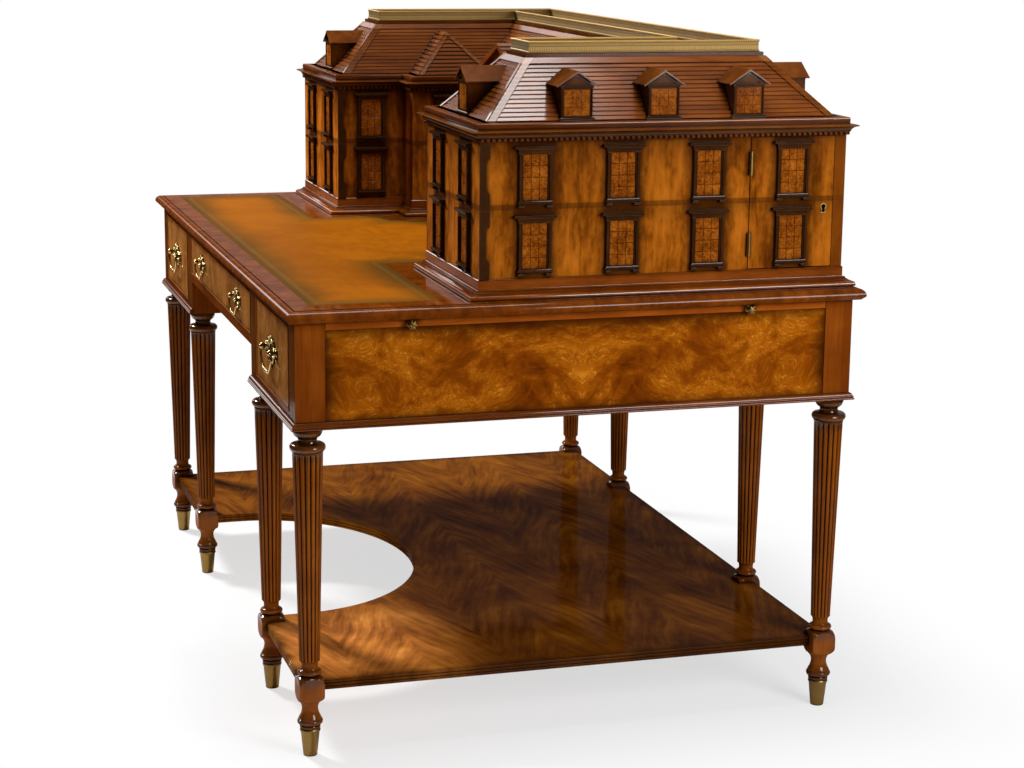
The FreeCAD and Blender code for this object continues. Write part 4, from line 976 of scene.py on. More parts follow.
def castPlate(carving, place, share):
    def bulb(steps, u, z, sides):
        carving.lathe(steps, lambda a, b, h: place(u + a, h, z + b), sides)

    lay = handle["lay"]
    for points, thick, thin in scrolls:
        for side in (-1, 1):
            line = curve([(side * u, z) for u, z in points])
            radii = tapering(len(line), thick * share, thin * share)
            carving.tube([place(u, lay, z) for u, z in line], radii)
    radii = [radius * share for radius in handle["petalRadii"]]
    for lean, length in handle["petals"]:
        runs = [length * step / (len(radii) - 1) for step in range(len(radii))]
        carving.tube([place(math.sin(lean) * run, lay, handle["petalRoot"] + math.cos(lean) * run)
                      for run in runs], radii)
    bulb(handle["button"], 0.0, handle["buttonHeight"], handle["buttonSides"])
    bulb(handle["drop"], 0.0, handle["dropHeight"], handle["dropSides"])
    for side in (-1, 1):
        bulb(handle["boss"], side * handle["spread"], handle["raise"], handle["bossSides"])


bailShape = {"thin": 2.15, "swell": 1.215, "gripHalf": 27.0, "beads": (25.0, 28.6), "beadWidth": 1.1,
             "beadRise": 0.7, "sides": 14, "curveSteps": 6,
             "points": [(34.5, 0.0), (41.5, 0.0), (46.3, -1.4), (48.6, -6.0), (48.4, -13.0), (45.6, -20.5),
                        (39.5, -27.0), (33.5, -32.0), (26.0, -36.6), (17.0, -38.4), (0.0, -38.6)]}


def bailPiece(node, place, share, reach):
    half = [(u, z + handle["raise"]) for u, z in bailShape["points"]]
    line = curve(half + [(-u, z) for u, z in reversed(half[:-1])], bailShape["curveSteps"])
    radii = []
    for u, z in line:
        grip = max(0.0, 1 - abs(u) / bailShape["gripHalf"])
        bead = sum(math.exp(-((abs(u) - at) / bailShape["beadWidth"]) ** 2) for at in bailShape["beads"])
        radii.append(share * (bailShape["thin"] + bailShape["swell"] * math.sqrt(grip)
                              + bailShape["beadRise"] * bead))
    carving = Carving()
    carving.tube([place(u, reach / share, z) for u, z in line], radii, bailShape["sides"])
    carving.finish(node + "_swan_neck", brassBright, node, "brass", [node], crease=60)


def handlePiece(node, body, bails):
    plates = Carving()
    for (low, high), bail in zip(solidsOf(node), bails):
        middle = (low + high) / 2
        share = (high.x - low.x) / handle["plateWidth"]
        place = lifted(wallPlace(middle.x, high.y, (0, -1)), middle.z, share)
        castPlate(plates, place, share)
        bailLow, bailHigh = solidsOf(bail)[0]
        bailPiece(bail, place, share, high.y - (bailLow.y + bailHigh.y) / 2)
    plates.finish(node + "_cast", brassCast, body, "brass", [node], crease=50)


handlePiece("handle_plate_left", "drawer_left", ["bail_left"])
handlePiece("handle_plate_right", "drawer_right", ["bail_right"])
handlePiece("handle_plates_centre", "drawer_centre", ["bail_centre_left", "bail_centre_right"])

knob = {"petals": 6, "sides": 48, "depth": 0.30, "from": 7.0, "run": 3.0,
        "steps": [(7.0, 0.0), (7.0, 0.9), (6.2, 1.5), (4.2, 2.0), (3.6, 3.4), (3.6, 6.4), (4.6, 7.6),
                  (6.8, 8.8), (8.2, 10.6), (8.5, 12.4), (8.0, 14.2), (6.6, 15.6), (4.6, 16.3), (4.0, 16.2),
                  (3.4, 16.8), (2.0, 17.0), (0.3, 17.0)]}
for side, sign in bothSides:
    knobs = Carving()
    for low, high in solidsOf("slide_knobs_" + side):
        middle = (low + high) / 2
        face = low.x if sign > 0 else high.x
        loops = []
        for radius, height in knob["steps"]:
            lobe = knob["depth"] * max(0.0, min(1.0, (height - knob["from"]) / knob["run"]))
            loop = []
            for step in range(knob["sides"]):
                turn = 2 * math.pi * step / knob["sides"]
                reach = radius * (1 - lobe * (1 - abs(math.cos(turn * knob["petals"] / 2))))
                loop.append((face + sign * height, middle.y + reach * math.cos(turn),
                             middle.z + reach * math.sin(turn)))
            loops.append(loop)
        knobs.loft(loops)
    knobs.finish("slide_knobs_%s_turned" % side, brassAged, "slide_" + side, "brass", ["slide_knobs_" + side])
print("brass handles and knobs cast")


# cock beads round the drawer fronts

cockBead = {"width": 3.2, "proud": 1.5, "sink": 1.0, "steps": 6}
for drawer in ("left", "right", "centre"):
    low, high = span("drawer_front_" + drawer)
    section = [(0.0, -cockBead["sink"])]
    for step in range(cockBead["steps"] + 1):
        turn = math.pi * step / cockBead["steps"]
        section.append((cockBead["width"] * (1 - math.cos(turn)) / 2, cockBead["proud"] * math.sin(turn)))
    section.append((cockBead["width"], -cockBead["sink"]))
    corners = ((low.x, low.z, 1, 1), (high.x, low.z, -1, 1), (high.x, high.z, -1, -1), (low.x, high.z, 1, -1))
    beads = Carving()
    beads.loft([[(x + sideX * inset, low.y - proud, z + sideZ * inset) for inset, proud in section]
                for x, z, sideX, sideZ in corners], joined=True)
    beads.finish("cock_bead_" + drawer, acrossWood, "drawer_" + drawer, "mahogany")


# reeded moulding round the foot of each pedestal

footMould = {"reach": 8.0,
             "steps": [(-1.0, 0.0), (6.8, 0.0), (7.6, 0.5), (8.0, 1.6), (7.6, 2.7), (6.7, 3.2), (6.2, 3.8),
                       (6.8, 4.3), (7.1, 5.2), (6.8, 6.1), (5.9, 6.6), (5.3, 7.2), (5.1, 8.4), (4.3, 10.0),
                       (3.0, 11.3), (1.6, 12.1), (0.8, 12.5), (-1.0, 12.5)]}
mouldings = Carving()
for low, high in solidsOf("base_mouldings"):
    reach = footMould["reach"]
    sign = 1 if high.x > 0 else -1
    outer = max(abs(low.x), abs(high.x)) - reach
    inner = min(abs(low.x), abs(high.x))
    front, back = low.y + reach, high.y - reach
    corners = ((inner, front, 0, -1), (outer, front, 1, -1), (outer, back, 1, 1), (inner, back, 0, 1))
    mouldings.loft([[(sign * (x + stepX * out), y + stepY * out, low.z + up)
                     for out, up in footMould["steps"]] for x, y, stepX, stepY in corners])
mouldings.finish("reeded_foot_moulding", mouldingWood, "desk", "mahogany", ["base_mouldings"], crease=40)


# mansion windows: hood, bed, jambs, sill with feet, and burl panes scored into lights

window = {"paneHalf": 21.75, "paneLow": 0.0, "paneHigh": 78.0, "across": 3, "up": 4, "score": 1.0,
          "paneBase": 0.7, "paneFace": 1.8, "sillDrop": 11.5,
          "jamb": [(21.75, 0.0), (21.75, 3.2), (22.6, 4.0), (23.5, 4.0), (23.9, 3.4), (24.4, 5.6),
                   (27.4, 6.0), (28.5, 5.2), (28.5, 0.0)],
          "bed": [(-0.4, 77.2), (-0.4, 78.2), (0.8, 78.6), (0.8, 82.6), (1.6, 83.2), (1.6, 84.4), (2.8, 85.2),
                  (4.0, 86.2), (4.4, 86.8)],
          "bedHalf": 28.3, "bedDepth": 4.2,
          "hood": [(-1.6, 86.0), (-0.2, 86.6), (0.0, 87.4), (0.0, 88.8), (-0.7, 89.4), (-0.7, 89.8),
                   (-0.2, 90.2), (-0.4, 90.8), (-1.8, 91.2)],
          "hoodHalf": 36.8, "hoodDepth": 10.6,
          "sill": [(-4.0, -7.2), (-4.0, -6.4), (-1.6, -5.4), (0.0, -4.4), (0.0, -1.9), (-0.7, -1.4),
                   (-1.9, -1.2), (-2.2, 0.0)],
          "sillHalf": 30.5, "sillDepth": 8.5, "footFar": 29.9, "footNear": 19.5, "footDepth": 7.7,
          "footTaper": 0.4, "foot": [(0.0, -7.0), (0.3, -9.475), (1.2, -11.05), (2.4, -11.5)]}


def windowTrim(carving, place):
    for side in (-1, 1):
        jamb = [(side * u, w) for u, w in window["jamb"]]
        carving.prism(jamb, place, window["paneLow"], window["paneHigh"])
        loops = []
        for shrink, level in window["foot"]:
            near = side * (window["footNear"] + shrink * window["footTaper"])
            far = side * (window["footFar"] - shrink * window["footTaper"])
            front = window["footDepth"] - shrink
            loops.append([place(near, 0, level), place(far, 0, level), place(far, front, level),
                          place(near, front, level)])
        carving.loft(loops)
    for part in ("bed", "hood", "sill"):
        carving.stepped(place, window[part + "Half"], window[part + "Depth"], window[part])


paneTile = {"seat": 0.2, "rimInset": 0.35, "rimDrop": 0.35, "faceInset": 0.8}


def paneLights(carving, place, look):
    half, low, high = look["paneHalf"], look["paneLow"], look["paneHigh"]
    base, face, score = look["paneBase"], look["paneFace"], look["score"]
    wide, tall = 2 * half / look["across"], (high - low) / look["up"]
    carving.raised(place, [(-half, half, 0, low, high), (-half, half, base, low, high)])
    steps = [(0.0, base - paneTile["seat"]), (score * paneTile["rimInset"], face - paneTile["rimDrop"]),
             (score * paneTile["faceInset"], face)]
    for column in range(look["across"]):
        for row in range(look["up"]):
            u, z = -half + column * wide, low + row * tall
            carving.raised(place, [(u + inset, u + wide - inset, out, z + inset, z + tall - inset)
                                   for inset, out in steps])


def windowPlace(low, high, outward):
    size = high - low
    if size.x < size.y:
        place = wallPlace(low.x if outward > 0 else high.x, (low.y + high.y) / 2, (outward, 0))
    else:
        place = wallPlace((low.x + high.x) / 2, low.y if outward > 0 else high.y, (0, outward))
    return lifted(place, low.z + window["sillDrop"])


trims, lights = Carving(), Carving()
paneBoxes = solidsOf("window_panes")
for low, high in solidsOf("window_frames"):
    axis = 0 if high.x - low.x < high.y - low.y else 1
    middle = (low + high) / 2
    pane = nearest(paneBoxes, middle)
    outward = 1 if (pane[0] + pane[1])[axis] / 2 < middle[axis] else -1
    place = windowPlace(low, high, outward)
    windowTrim(trims, place)
    paneLights(lights, place, window)
trims.finish("window_trim", trimWood, "desk", "dark_trim", ["window_frames"], crease=30)
for side, sign in bothSides:
    doorTrims, doorLights = Carving(), Carving()
    for low, high in solidsOf("door_windows_" + side):
        place = windowPlace(low, high, sign)
        windowTrim(doorTrims, place)
        paneLights(doorLights, place, window)
    doorTrims.finish("door_window_trim_" + side, trimWood, "door_" + side, "dark_trim",
                     ["door_windows_" + side], crease=30)
    doorLights.finish("door_window_panes_" + side, burlWood, "door_" + side, "burl_veneer", crease=30)
print("windows trimmed")


# door brass: moving hinge leaves with their knuckles, and a keyhole escutcheon

lock = {"plateDepth": 2.0, "leaf": 0.6, "joint": 0.8, "barrel": 3.5, "sides": 20, "lobe": 5.6, "foot": 5.0,
        "drop": 8.8, "rise": 3.0, "lobeStart": -52, "lobeTurn": 284, "lobeSteps": 24, "rim": 1.6,
        "proud": 1.2, "floor": 0.3}


def keyhole(grow):
    radius = lock["lobe"] + grow
    points = []
    for step in range(lock["lobeSteps"] + 1):
        turn = math.radians(lock["lobeStart"] + lock["lobeTurn"] * step / lock["lobeSteps"])
        points.append((math.cos(turn) * radius, lock["rise"] + math.sin(turn) * radius))
    foot = lock["foot"] + grow
    return points + [(-foot, -lock["drop"] - grow), (foot, -lock["drop"] - grow)]


def escutcheon(brass, hole, place):
    def on(outline, proud):
        return [place(u, proud, z) for u, z in outline]

    outer, inner, proud = keyhole(0.0), keyhole(-lock["rim"]), lock["proud"]
    brass.loft([on(outer, 0.0), on(outer, proud), on(inner, proud), on(inner, 0.0)], joined=True)
    # painted shade: a near-black sheet inside the rim stands for the opening of the keyhole
    hole.loft([on(inner, 0.0), on(inner, lock["floor"])])


def hingeKnuckle(brass, low, high, sign):
    axisX = high.x - lock["barrel"] if sign > 0 else low.x + lock["barrel"]
    axisY = (low.y + high.y) / 2
    leafX = low.x if sign > 0 else high.x
    nearY, farY = axisY + lock["joint"] - lock["leaf"], axisY + lock["joint"]
    brass.lathe([(lock["barrel"], low.z), (lock["barrel"], high.z)], standing(axisX, axisY), lock["sides"])
    brass.prism([(leafX, nearY), (axisX, nearY), (axisX, farY), (leafX, farY)], standing(0, 0), low.z, high.z)


for side, sign in bothSides:
    brass, hole = Carving(), Carving()
    for low, high in solidsOf("door_brass_" + side):
        if high.x - low.x < lock["plateDepth"]:
            middle = (low + high) / 2
            wall = wallPlace(low.x if sign > 0 else high.x, middle.y, (sign, 0))
            escutcheon(brass, hole, lifted(wall, middle.z))
        else:
            hingeKnuckle(brass, low, high, sign)
    brass.finish("door_brass_%s_cast" % side, brassAged, "door_" + side, "brass", ["door_brass_" + side],
                 crease=40)
    hole.finish("keyhole_" + side, keyholeShade, "door_" + side, "dark_trim")


# dormers: cheeks, framed burl light, little pediment and two roof boards

dormer = {"half": 27.5, "eave": 58.0, "rise": 24.5, "roofHalf": 37.5, "overhang": 6.0, "cot": 0.944,
          "apexLift": 3.0, "paneHalf": 22.6, "paneLow": 7.5, "paneHigh": 51.5, "across": 3, "up": 3,
          "paneBase": 0.3, "paneFace": 0.9, "score": 0.9, "stileLow": 4.0, "stileHigh": 53.9,
          "stile": [(27.5, -0.5), (27.5, 1.8), (26.6, 2.4), (25.3, 2.4), (24.7, 1.2), (24.1, -0.5)],
          "sill": [(1.6, 0.0), (3.0, 0.6), (3.0, 3.4), (2.0, 4.2), (1.2, 5.6)], "sillHalf": 28.0,
          "sillDepth": 1.0, "lintel": [(0.0, 53.4), (1.4, 54.2), (1.4, 56.2), (2.4, 57.2), (2.4, 58.2)],
          "lintelDepth": 0.6, "rakeOuter": 25.5, "rakeInner": 21.5, "rakeLift": 1.0, "rakeBack": -0.5,
          "rakeFront": 2.2, "board": 3.6, "eaveTuck": 1.4, "eaveDrop": 1.98, "nose": 1.0, "noseDrop": 0.3}


def dormerCheeks(carving, place):
    half, eave = dormer["half"], dormer["eave"]
    back = -eave * dormer["cot"]
    carving.loft([[place(side * half, 0, 0), place(side * half, 0, eave), place(side * half, back, eave)]
                  for side in (-1, 1)])
    apex = eave + dormer["rise"] * half / dormer["roofHalf"] + dormer["apexLift"]
    carving.loft([[place(-half, w, eave), place(half, w, eave), place(0, w, apex)]
                  for w in (0.0, -apex * dormer["cot"])])


def dormerTrim(carving, place):
    pitch = dormer["rise"] / dormer["roofHalf"]
    foot, outer, inner = dormer["eave"] + dormer["rakeLift"], dormer["rakeOuter"], dormer["rakeInner"]
    carving.stepped(place, dormer["half"], dormer["lintelDepth"], dormer["lintel"])
    carving.stepped(place, dormer["sillHalf"], dormer["sillDepth"], dormer["sill"])
    for side in (-1, 1):
        carving.prism([(side * u, w) for u, w in dormer["stile"]], place, dormer["stileLow"],
                      dormer["stileHigh"])
        rake = [(side * outer, foot), (side * inner, foot), (0.0, foot + inner * pitch),
                (0.0, foot + outer * pitch)]
        carving.loft([[place(u, w, z) for u, z in rake] for w in (dormer["rakeBack"], dormer["rakeFront"])])


def dormerRoof(carving, place):
    half, eave, front = dormer["roofHalf"], dormer["eave"], dormer["overhang"]
    ridge = eave + dormer["rise"]
    for side in (-1, 1):
        section = [(0.0, ridge), (side * half, eave),
                   (side * (half - dormer["eaveTuck"]), eave - dormer["eaveDrop"]),
                   (0.0, ridge - dormer["board"])]
        carving.loft([[place(u, front, z - dormer["noseDrop"]) for u, z in section],
                      [place(u, front - dormer["nose"], z) for u, z in section],
                      [place(u, -z * dormer["cot"], z) for u, z in section]])


cheeks, dormerTrims, dormerRoofs = Carving(), Carving(), Carving()
bodyBoxes = solidsOf("dormer_bodies")
for low, high in solidsOf("dormer_roofs"):
    middle = (low + high) / 2
    axis = 0 if high.x - low.x > high.y - low.y else 1
    body = nearest(bodyBoxes, middle)
    outward = -1 if abs(low[axis] - body[0][axis]) < abs(high[axis] - body[1][axis]) else 1
    front = (high if outward > 0 else low)[axis] - outward * dormer["overhang"]
    if axis == 0:
        wall = wallPlace(front, middle.y, (outward, 0))
    else:
        wall = wallPlace(middle.x, front, (0, outward))
    place = lifted(wall, body[0].z)
    dormerCheeks(cheeks, place)
    dormerTrim(dormerTrims, place)
    dormerRoof(dormerRoofs, place)
    paneLights(lights, place, dormer)
cheeks.finish("dormer_cheeks", cheekWood, "desk", "dark_trim", ["dormer_bodies"], crease=30)
dormerTrims.finish("dormer_frames", trimWood, "desk", "dark_trim", crease=30)
dormerRoofs.finish("dormer_roof_boards", dormerWood, "desk", "roof_mahogany", ["dormer_roofs"], crease=30)
lights.finish("window_lights", burlWood, "desk", "burl_veneer", ["window_panes"], crease=30)
print("dormers built")


# mansion plan, for the teeth of the cornice, the courses, the small roofs and the gallery

wallsLow, wallsHigh = span("wing_walls")
plan = {"outer": wallsHigh.x, "front": wallsLow.y, "back": span("back_wall")[1].y, "wingWidth": 338.0,
        "pavilionReach": 69.0, "pavilionSetback": 144.5, "rangeDepth": 351.0, "centreHalf": 205.0,
        "centreReach": 51.5}
innerX = plan["outer"] - plan["wingWidth"]
pavilionX = innerX - plan["pavilionReach"]
pavilionY = plan["front"] + plan["pavilionSetback"]
rangeY = plan["back"] - plan["rangeDepth"]
centreY = rangeY - plan["centreReach"]


def mirrored(half):
    return half + [(-x, y) for x, y in reversed(half)]


wing = [(innerX, plan["front"]), (plan["outer"], plan["front"]), (plan["outer"], plan["back"])]
house = mirrored([(plan["centreHalf"], centreY), (plan["centreHalf"], rangeY), (pavilionX, rangeY),
                  (pavilionX, pavilionY), (innerX, pavilionY)] + wing)
mainBlock = mirrored([(innerX, rangeY)] + wing)

teeth = {"pitch": 9.7, "half": 2.7, "low": 0.5, "high": 5.4, "steps": [(0.0, 2.5), (0.0, 5.8), (0.8, 6.6)]}
dentils = Carving()
for start, end in zip(house, house[1:] + house[:1]):
    along = Vector(end) - Vector(start)
    count = int((along.length + teeth["pitch"]) // teeth["pitch"])
    along.normalize()
    middle = (Vector(start) + Vector(end)) / 2
    place = lifted(wallPlace(middle.x, middle.y, (along.y, -along.x)), wallsHigh.z)
    for index in range(count):
        u = (index - (count - 1) / 2) * teeth["pitch"]
        dentils.raised(place, [(u - teeth["half"] + inset, u + teeth["half"] - inset, out,
                                teeth["low"] + inset, teeth["high"] - inset)
                               for inset, out in teeth["steps"]])
dentils.finish("cornice_teeth", mouldingWood, "desk", "mahogany", crease=30)

profiles = {
    # (reach, height above the foot) of the courses that run round the house
    "cornice": [(3.2, 0.2), (3.2, 0.5), (3.2, 5.3), (3.2, 5.6), (5.4, 5.9), (5.4, 7.0), (6.2, 9.2),
                (7.8, 11.4), (10.2, 13.4), (13.2, 14.8), (15.6, 15.3), (16.3, 15.7), (16.5, 16.5),
                (16.2, 17.3), (15.0, 17.9), (11.0, 18.6), (6.4, 19.4), (4.0, 20.3), (4.3, 21.2), (4.5, 22.0),
                (4.5, 22.4), (4.5, 27.4), (4.5, 27.8), (4.1, 29.2), (3.1, 30.1), (1.4, 30.5)],
    "mansion_base": [(18.6, 0.0), (19.4, 0.4), (20.0, 2.4), (19.8, 4.6), (18.8, 6.6), (17.0, 8.0),
                     (15.4, 8.5), (14.4, 8.7), (12.2, 9.3), (9.6, 10.8), (7.6, 12.4), (6.6, 13.0),
                     (6.0, 13.2), (6.0, 13.5), (6.0, 14.6), (6.0, 14.9), (5.4, 15.3), (2.3, 15.5),
                     (2.0, 16.0), (2.0, 16.4), (2.0, 31.2), (2.0, 31.6), (1.2, 32.6), (0.0, 33.2)]}
for node, look in (("cornice", corniceWood), ("mansion_base", plinthWood)):
    low, high = span(node)
    course = Carving()
    course.loft([[(x, y, low.z + up) for x, y in drawnIn(house, -reach)] for reach, up in profiles[node]])
    course.finish(node + "_run", look, "desk", "mahogany", [node], crease=32)


# brass gallery: ribbed band between moulded rims

galleryLow, galleryHigh = span("brass_gallery")
gallery = {"line": plan["outer"] - galleryHigh.x, "rim": 3.5, "rimHeight": 4.0, "bandInset": 0.9,
           "bandLap": 0.3, "ribPitch": 4.2, "ribDepth": 0.5, "ribSteps": 2,
           "rimFace": [(0.7, 0.0), (0.0, 0.2), (0.0, 0.42), (0.6, 0.5), (0.0, 0.58), (0.0, 0.8), (0.7, 1.0)],
           "rimBack": [(0.7, 1.0), (0.0, 0.8), (0.0, 0.2), (0.7, 0.0)]}


def ribbed(outline, depth):
    steps = gallery["ribSteps"]
    points = []
    for start, end in zip(outline, outline[1:] + outline[:1]):
        along = Vector(end) - Vector(start)
        count = max(1, round(along.length / gallery["ribPitch"])) * steps
        inward = Vector((-along.y, along.x)).normalized()
        for index in range(count):
            swell = depth * (1 - abs(math.sin(math.pi * index / steps)))
            points.append(tuple(Vector(start) + along * (index / count) + inward * swell))
    return points


galleryBack = gallery["line"] + gallery["rim"]
bandLow, bandHigh = galleryLow.z + gallery["rimHeight"], galleryHigh.z - gallery["rimHeight"]
rails = Carving()
rimSteps = [(gallery["line"] + inset, share) for inset, share in gallery["rimFace"]]
rimSteps += [(galleryBack - inset, share) for inset, share in gallery["rimBack"]]
for low, high in ((galleryLow.z, bandLow), (bandHigh, galleryHigh.z)):
    rails.loft([[(x, y, low + (high - low) * share) for x, y in drawnIn(mainBlock, inset)]
                for inset, share in rimSteps], joined=True)
for inset, depth in ((gallery["line"] + gallery["bandInset"], gallery["ribDepth"]),
                     (galleryBack - gallery["bandInset"], 0.0)):
    rails.skirt(ribbed(drawnIn(mainBlock, inset), depth), bandLow - gallery["bandLap"],
                bandHigh + gallery["bandLap"])
rails.finish("ribbed_gallery", brassOlive, "desk", "brass", ["brass_gallery"], crease=30)
print("gallery ribbed")


# main roof: slats that lap down the slopes, a smooth board along the top and boards over the hips

roof = {"eaves": 19.0, "cot": 0.944, "run": 93.0, "slats": 13, "lap": 1.5, "topBoard": 15.0,
        "boardProud": 2.6, "boardEdge": 0.5, "boardRound": 0.6, "sink": 1.0, "hipWidth": 13.0,
        "endHipWidth": 9.75,
        "slat": [(0.0, 0.45), (0.04, 0.85), (0.11, 1.0), (1.0, 0.10)]}
foot = span("cornice")[1].z
roofTop = span("roof_slopes")[1].z
length = math.hypot(roof["run"], roof["run"] / roof["cot"])
outX, outZ = (roof["run"] / roof["cot"]) / length, roof["run"] / length
clad = length - roof["topBoard"]
shoulder = length - roof["boardProud"] * outZ / outX
courses = [(0.0, -roof["sink"])]
for index in range(roof["slats"]):
    for along, proud in roof["slat"]:
        courses.append(((index + along) * clad / roof["slats"], proud * roof["lap"]))
courses += [(clad, roof["boardProud"] - roof["boardRound"]), (clad + roof["boardEdge"], roof["boardProud"]),
            (shoulder, roof["boardProud"]), (length, -roof["sink"])]
loops = []
for along, proud in courses:
    inset = roof["eaves"] + along * outZ - proud * outX
    level = min(foot + along * outX + proud * outZ, roofTop)
    loops.append([(x, y, max(level, foot)) for x, y in drawnIn(mainBlock, inset)])
mainSlopes = Carving()
mainSlopes.loft(loops)
mainSlopes.finish("main_roof_slats", roofWood, "desk", "roof_mahogany", ["roof_slopes"], crease=12)
hips = Carving()


def hipBoard(onSlope, width, top, proud):
    # on a slope, a point is (along the fall, across it, out of it)
    section = [(0.0, -roof["sink"]), (0.0, proud), (width, proud), (width, -roof["sink"])]
    hips.loft([[onSlope(along, across, out) for across, out in section] for along in (0.0, top)])


for wall, outward, end, inward in ((plan["outer"], 1, plan["front"], 1), (plan["outer"], 1, plan["back"], -1),
                                   (innerX, -1, plan["front"], 1)):
    for sign in (-1, 1):
        def onSide(along, across, out):
            inset = roof["eaves"] + along * outZ
            return (sign * (wall - outward * (inset - out * outX)), end + inward * (inset + across),
                    foot + along * outX + out * outZ)

        def onEnd(along, across, out):
            inset = roof["eaves"] + along * outZ
            return (sign * (wall - outward * (inset + across)), end + inward * (inset - out * outX),
                    foot + along * outX + out * outZ)

        hipBoard(onSide, roof["hipWidth"], shoulder, roof["boardProud"])
        hipBoard(onEnd, roof["endHipWidth"], shoulder, roof["boardProud"])


# courtyard roofs: slats on the pavilions and on the pediment's slopes

slats = {"count": 11, "lap": 3.2, "overlap": 1.15, "sink": 0.5, "tuck": 0.3, "hipWidth": 9.0, "hipProud": 0.6,
         "pediment": 85.0, "pedimentHalf": 212.0, "pedimentFront": 16.5, "pedimentCount": 14,
         "pedimentLap": 2.6}


def slattedFace(carving, eaves, ridges, count, lap):
    eaves = [Vector(point) for point in eaves]
    ridges = [Vector(point) for point in ridges]
    normal = (eaves[1] - eaves[0]).cross(ridges[0] - eaves[0]).normalized()
    if normal.z < 0:
        normal = -normal
    for index in range(count):
        low, high = index / count, min(1.0, (index + slats["overlap"]) / count)
        loops = []
        for eave, ridge in zip(eaves, ridges):
            lower, upper = eave.lerp(ridge, low), eave.lerp(ridge, high)
            loops.append([tuple(lower - normal * slats["sink"]), tuple(lower + normal * lap),
                          tuple(upper + normal * slats["tuck"]), tuple(upper - normal * slats["sink"])])
        carving.loft(loops)


smallRoofs = Carving()
half = (rangeY - pavilionY) / 2
middleY = (rangeY + pavilionY) / 2 + roof["eaves"]
ridge = foot + half / roof["cot"]
for sign in (-1, 1):
    x0, x1 = sign * (pavilionX + roof["eaves"]), sign * (innerX + roof["eaves"])
    y0, y1 = middleY - half, middleY + half
    apex, far = (x0 + sign * half, middleY, ridge), (x1 + sign * half, middleY, ridge)
    for eaves, ridges in ((((x0, y0, foot), (x1, y0, foot)), (apex, far)),
                          (((x0, y0, foot), (x0, y1, foot)), (apex, apex)),
                          (((x0, y1, foot), (x1, y1, foot)), (apex, far))):
        slattedFace(smallRoofs, eaves, ridges, slats["count"], slats["lap"])
    for corner, inward in ((y0, 1), (y1, -1)):
        def onTriangle(along, across, out):
            return (x0 + sign * (along * outZ - out * outX), corner + inward * (along * outZ + across),
                    foot + along * outX + out * outZ)

        hipBoard(onTriangle, slats["hipWidth"], (half - slats["hipWidth"]) / outZ,
                 slats["lap"] + slats["hipProud"])
hips.finish("hip_board_strips", boardWood, "desk", "roof_mahogany", ["hip_boards"], crease=30)
gableFront, gableBack = centreY - slats["pedimentFront"], rangeY + roof["eaves"]
ridgeBack = gableBack + slats["pediment"] * roof["cot"]
gableTop = foot + slats["pediment"]
for sign in (-1, 1):
    eave = sign * slats["pedimentHalf"]
    slattedFace(smallRoofs, ((eave, gableFront, foot), (eave, gableBack, foot)),
                ((0.0, gableFront, gableTop), (0.0, ridgeBack, gableTop)), slats["pedimentCount"],
                slats["pedimentLap"])
smallRoofs.finish("courtyard_roof_slats", roofWood, "desk", "roof_mahogany", crease=30)
print("roofs slatted")


# finishes of the pieces that keep their own shape

plainFinishes = {
    uprightWood: ["frieze_posts"],
    trimWood: ["quoins"],
    panelWood: ["side_panel_left", "side_panel_right"],
    drawerWood["left"]: ["drawer_front_left"],
    drawerWood["right"]: ["drawer_front_right"],
    drawerWood["centre"]: ["drawer_front_centre"],
    backWood: ["back_panels"],
    acrossWood: ["slide_left", "slide_right"],
    railWood: ["front_rails", "kneehole_sides"],
    liningWood: ["drawer_runners", "drawer_box_left", "drawer_box_right", "drawer_box_centre",
                 "cupboard_linings"],
    topWood: ["desk_top"],
    leather: ["leather_inset"],
    wallWood: ["wing_walls", "courtyard_walls", "back_wall", "door_left", "door_right"],
    roofWood: ["courtyard_roofs"],
    cheekWood: ["roof_boards"],
    brassAged: ["fixed_hinge_leaves"]}
for finish, names in plainFinishes.items():
    for name in names:
        slots = nodes[name].data.materials
        slots.clear()
        slots.append(finish)
for node in nodes.values():
    if node.hide_render:
        node.data.materials.clear()
        node.data.materials.append(uprightWood)
print("finishes laid on")


# floor, light and camera

studio = {"floorRadius": 2200.0, "floorLow": -3.0, "floorHigh": -0.2, "floorSides": 96,
          "floorColour": (0.88, 0.88, 0.885), "floorRoughness": 0.7, "floorSpecular": 0.1, "shadowKept": 0.34,
          "clearRun": (0.05, 0.45), "white": (1.0, 1.0, 1.0), "ambient": (0.13, 0.13, 0.135),
          "paleSide": (0.40, 0.40, 0.41), "darkSide": (0.03, 0.03, 0.031), "paleLean": (-0.9, 0.1),
          "paleRun": (0.1, 0.7), "paleDepth": (0.0, 0.2), "window": (5.0, 5.0, 5.1), "windowMiddle": -0.18,
          "windowHalf": 0.10, "windowSoft": (0.0, 0.04), "windowFoot": (0.12, 0.2),
          "windowHead": (0.45, 0.55), "windowSide": (0.5, 0.7)}


def floorFinish():
    finish, flow, shader = startFinish("pale_floor")
    x, y, z = flow.objectPlace().parts()
    beyondX = (x.size() - cadBox[1].x).most(0.0)
    beyondY = (y.size() - cadBox[1].y).most(0.0)
    away = (beyondX * beyondX + beyondY * beyondY) ** 0.5
    ray = flow.node("LightPath", None, None, "Is Camera Ray")
    clear = away.between(*studio["clearRun"]) * studio["shadowKept"] + (1 - studio["shadowKept"])
    setShader(flow, shader, {"Base Color": solid(studio["floorColour"]),
                             "Roughness": studio["floorRoughness"],
                             "Specular IOR Level": studio["floorSpecular"]})
    white = flow.node("Emission", None, {"Color": solid(studio["white"]), "Strength": 1.0})
    mixed = flow.node("MixShader", None, {0: clear * ray, 1: Flow(flow.tree, shader.outputs[0]), 2: white})
    out = flow.tree.nodes["Material Output"]
    flow.tree.links.new(mixed.socket, out.inputs["Surface"])
    return finish


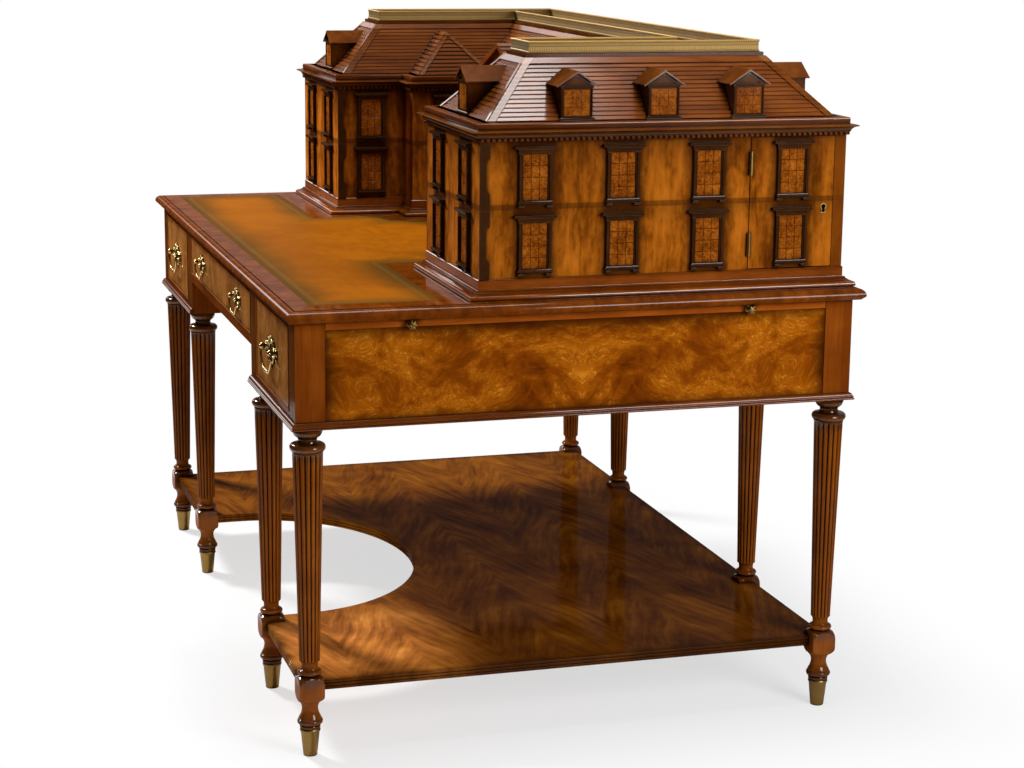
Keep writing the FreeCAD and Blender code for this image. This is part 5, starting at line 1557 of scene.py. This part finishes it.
floorShape = Carving()
floorShape.lathe([(studio["floorRadius"], studio["floorLow"]), (studio["floorRadius"], studio["floorHigh"])],
                 standing(0, 0), studio["floorSides"])
floorMesh = floorShape.mesh("floor")
floorMesh.materials.append(floorFinish())
floor = bpy.data.objects.new("floor", floorMesh)
bpy.context.scene.collection.objects.link(floor)


def studioWorld():
    # the camera sees white, polish and brass see a pale room that darkens behind the camera
    world = bpy.data.worlds.new("studio")
    bpy.context.scene.world = world
    world.use_nodes = True
    flow = Flow(world.node_tree)
    x, y, z = flow.node("TexCoord", None, None, "Generated").parts()
    leanX, leanZ = studio["paleLean"]
    openSide = (z * leanZ + x * leanX).between(*studio["paleRun"]) * y.between(*studio["paleDepth"])
    across = (studio["windowHalf"] - (y - studio["windowMiddle"]).size()).between(*studio["windowSoft"])
    opening = z.between(*studio["windowFoot"]) * (1 - z.between(*studio["windowHead"]))
    window = across * opening * (0 - x).between(*studio["windowSide"])
    reflected = openSide.blend(solid(studio["darkSide"]), solid(studio["paleSide"]))
    reflected = window.blend(reflected, solid(studio["window"]))
    glossy = flow.node("LightPath", None, None, "Is Glossy Ray")
    ray = flow.node("LightPath", None, None, "Is Camera Ray")
    around = glossy.blend(solid(studio["ambient"]), reflected)
    seen = ray.blend(around, solid(studio["white"]))
    ground = world.node_tree.nodes["Background"]
    world.node_tree.links.new(seen.socket, ground.inputs["Color"])
    ground.inputs["Strength"].default_value = 1.0


studioWorld()

lamps = {
    "key": {"from": (-2.5, -1.75, 2.85), "to": (0.0, -0.1, 0.45), "size": (0.6, 0.6), "power": 190.0},
    "side": {"from": (2.8, 1.15, 1.40), "to": (0.6, 0.05, 0.75), "size": (1.0, 0.9), "power": 48.0},
    "above": {"from": (0.6, 0.10, 3.3), "to": (0.6, 0.10, 0.8), "size": (1.05, 1.25), "power": 50.0}}


def aimed(name, data, place, turn):
    holder = bpy.data.objects.new(name, data)
    holder.location = place
    holder.rotation_mode = "QUATERNION"
    holder.rotation_quaternion = turn
    bpy.context.scene.collection.objects.link(holder)
    return holder


def lamp(name, shape):
    light = bpy.data.lights.new(name, "AREA")
    light.shape = "RECTANGLE"
    light.size, light.size_y = shape["size"]
    light.energy = shape["power"]
    aim = Vector(shape["to"]) - Vector(shape["from"])
    aimed(name, light, shape["from"], aim.to_track_quat("-Z", "Y"))


for name, shape in lamps.items():
    lamp(name, shape)

view = {"from": (4.18720, -1.16994, 1.40364), "azimuth": 73.120, "pitch": 12.148, "roll": 0.601,
        "lens": 77.71, "sensor": 36.0, "farthest": 60.0}


def photoCamera():
    data = bpy.data.cameras.new("camera")
    data.lens = view["lens"]
    data.sensor_width = view["sensor"]
    data.clip_end = view["farthest"]
    turn, dip = math.radians(view["azimuth"]), math.radians(view["pitch"])
    forward = Vector((-math.sin(turn) * math.cos(dip), math.cos(turn) * math.cos(dip), -math.sin(dip)))
    roll = Quaternion((0, 0, 1), math.radians(view["roll"]))
    bpy.context.scene.camera = aimed("camera", data, view["from"], forward.to_track_quat("-Z", "Y") @ roll)


photoCamera()
bpy.context.scene.view_settings.view_transform = "Standard"
print("studio set")
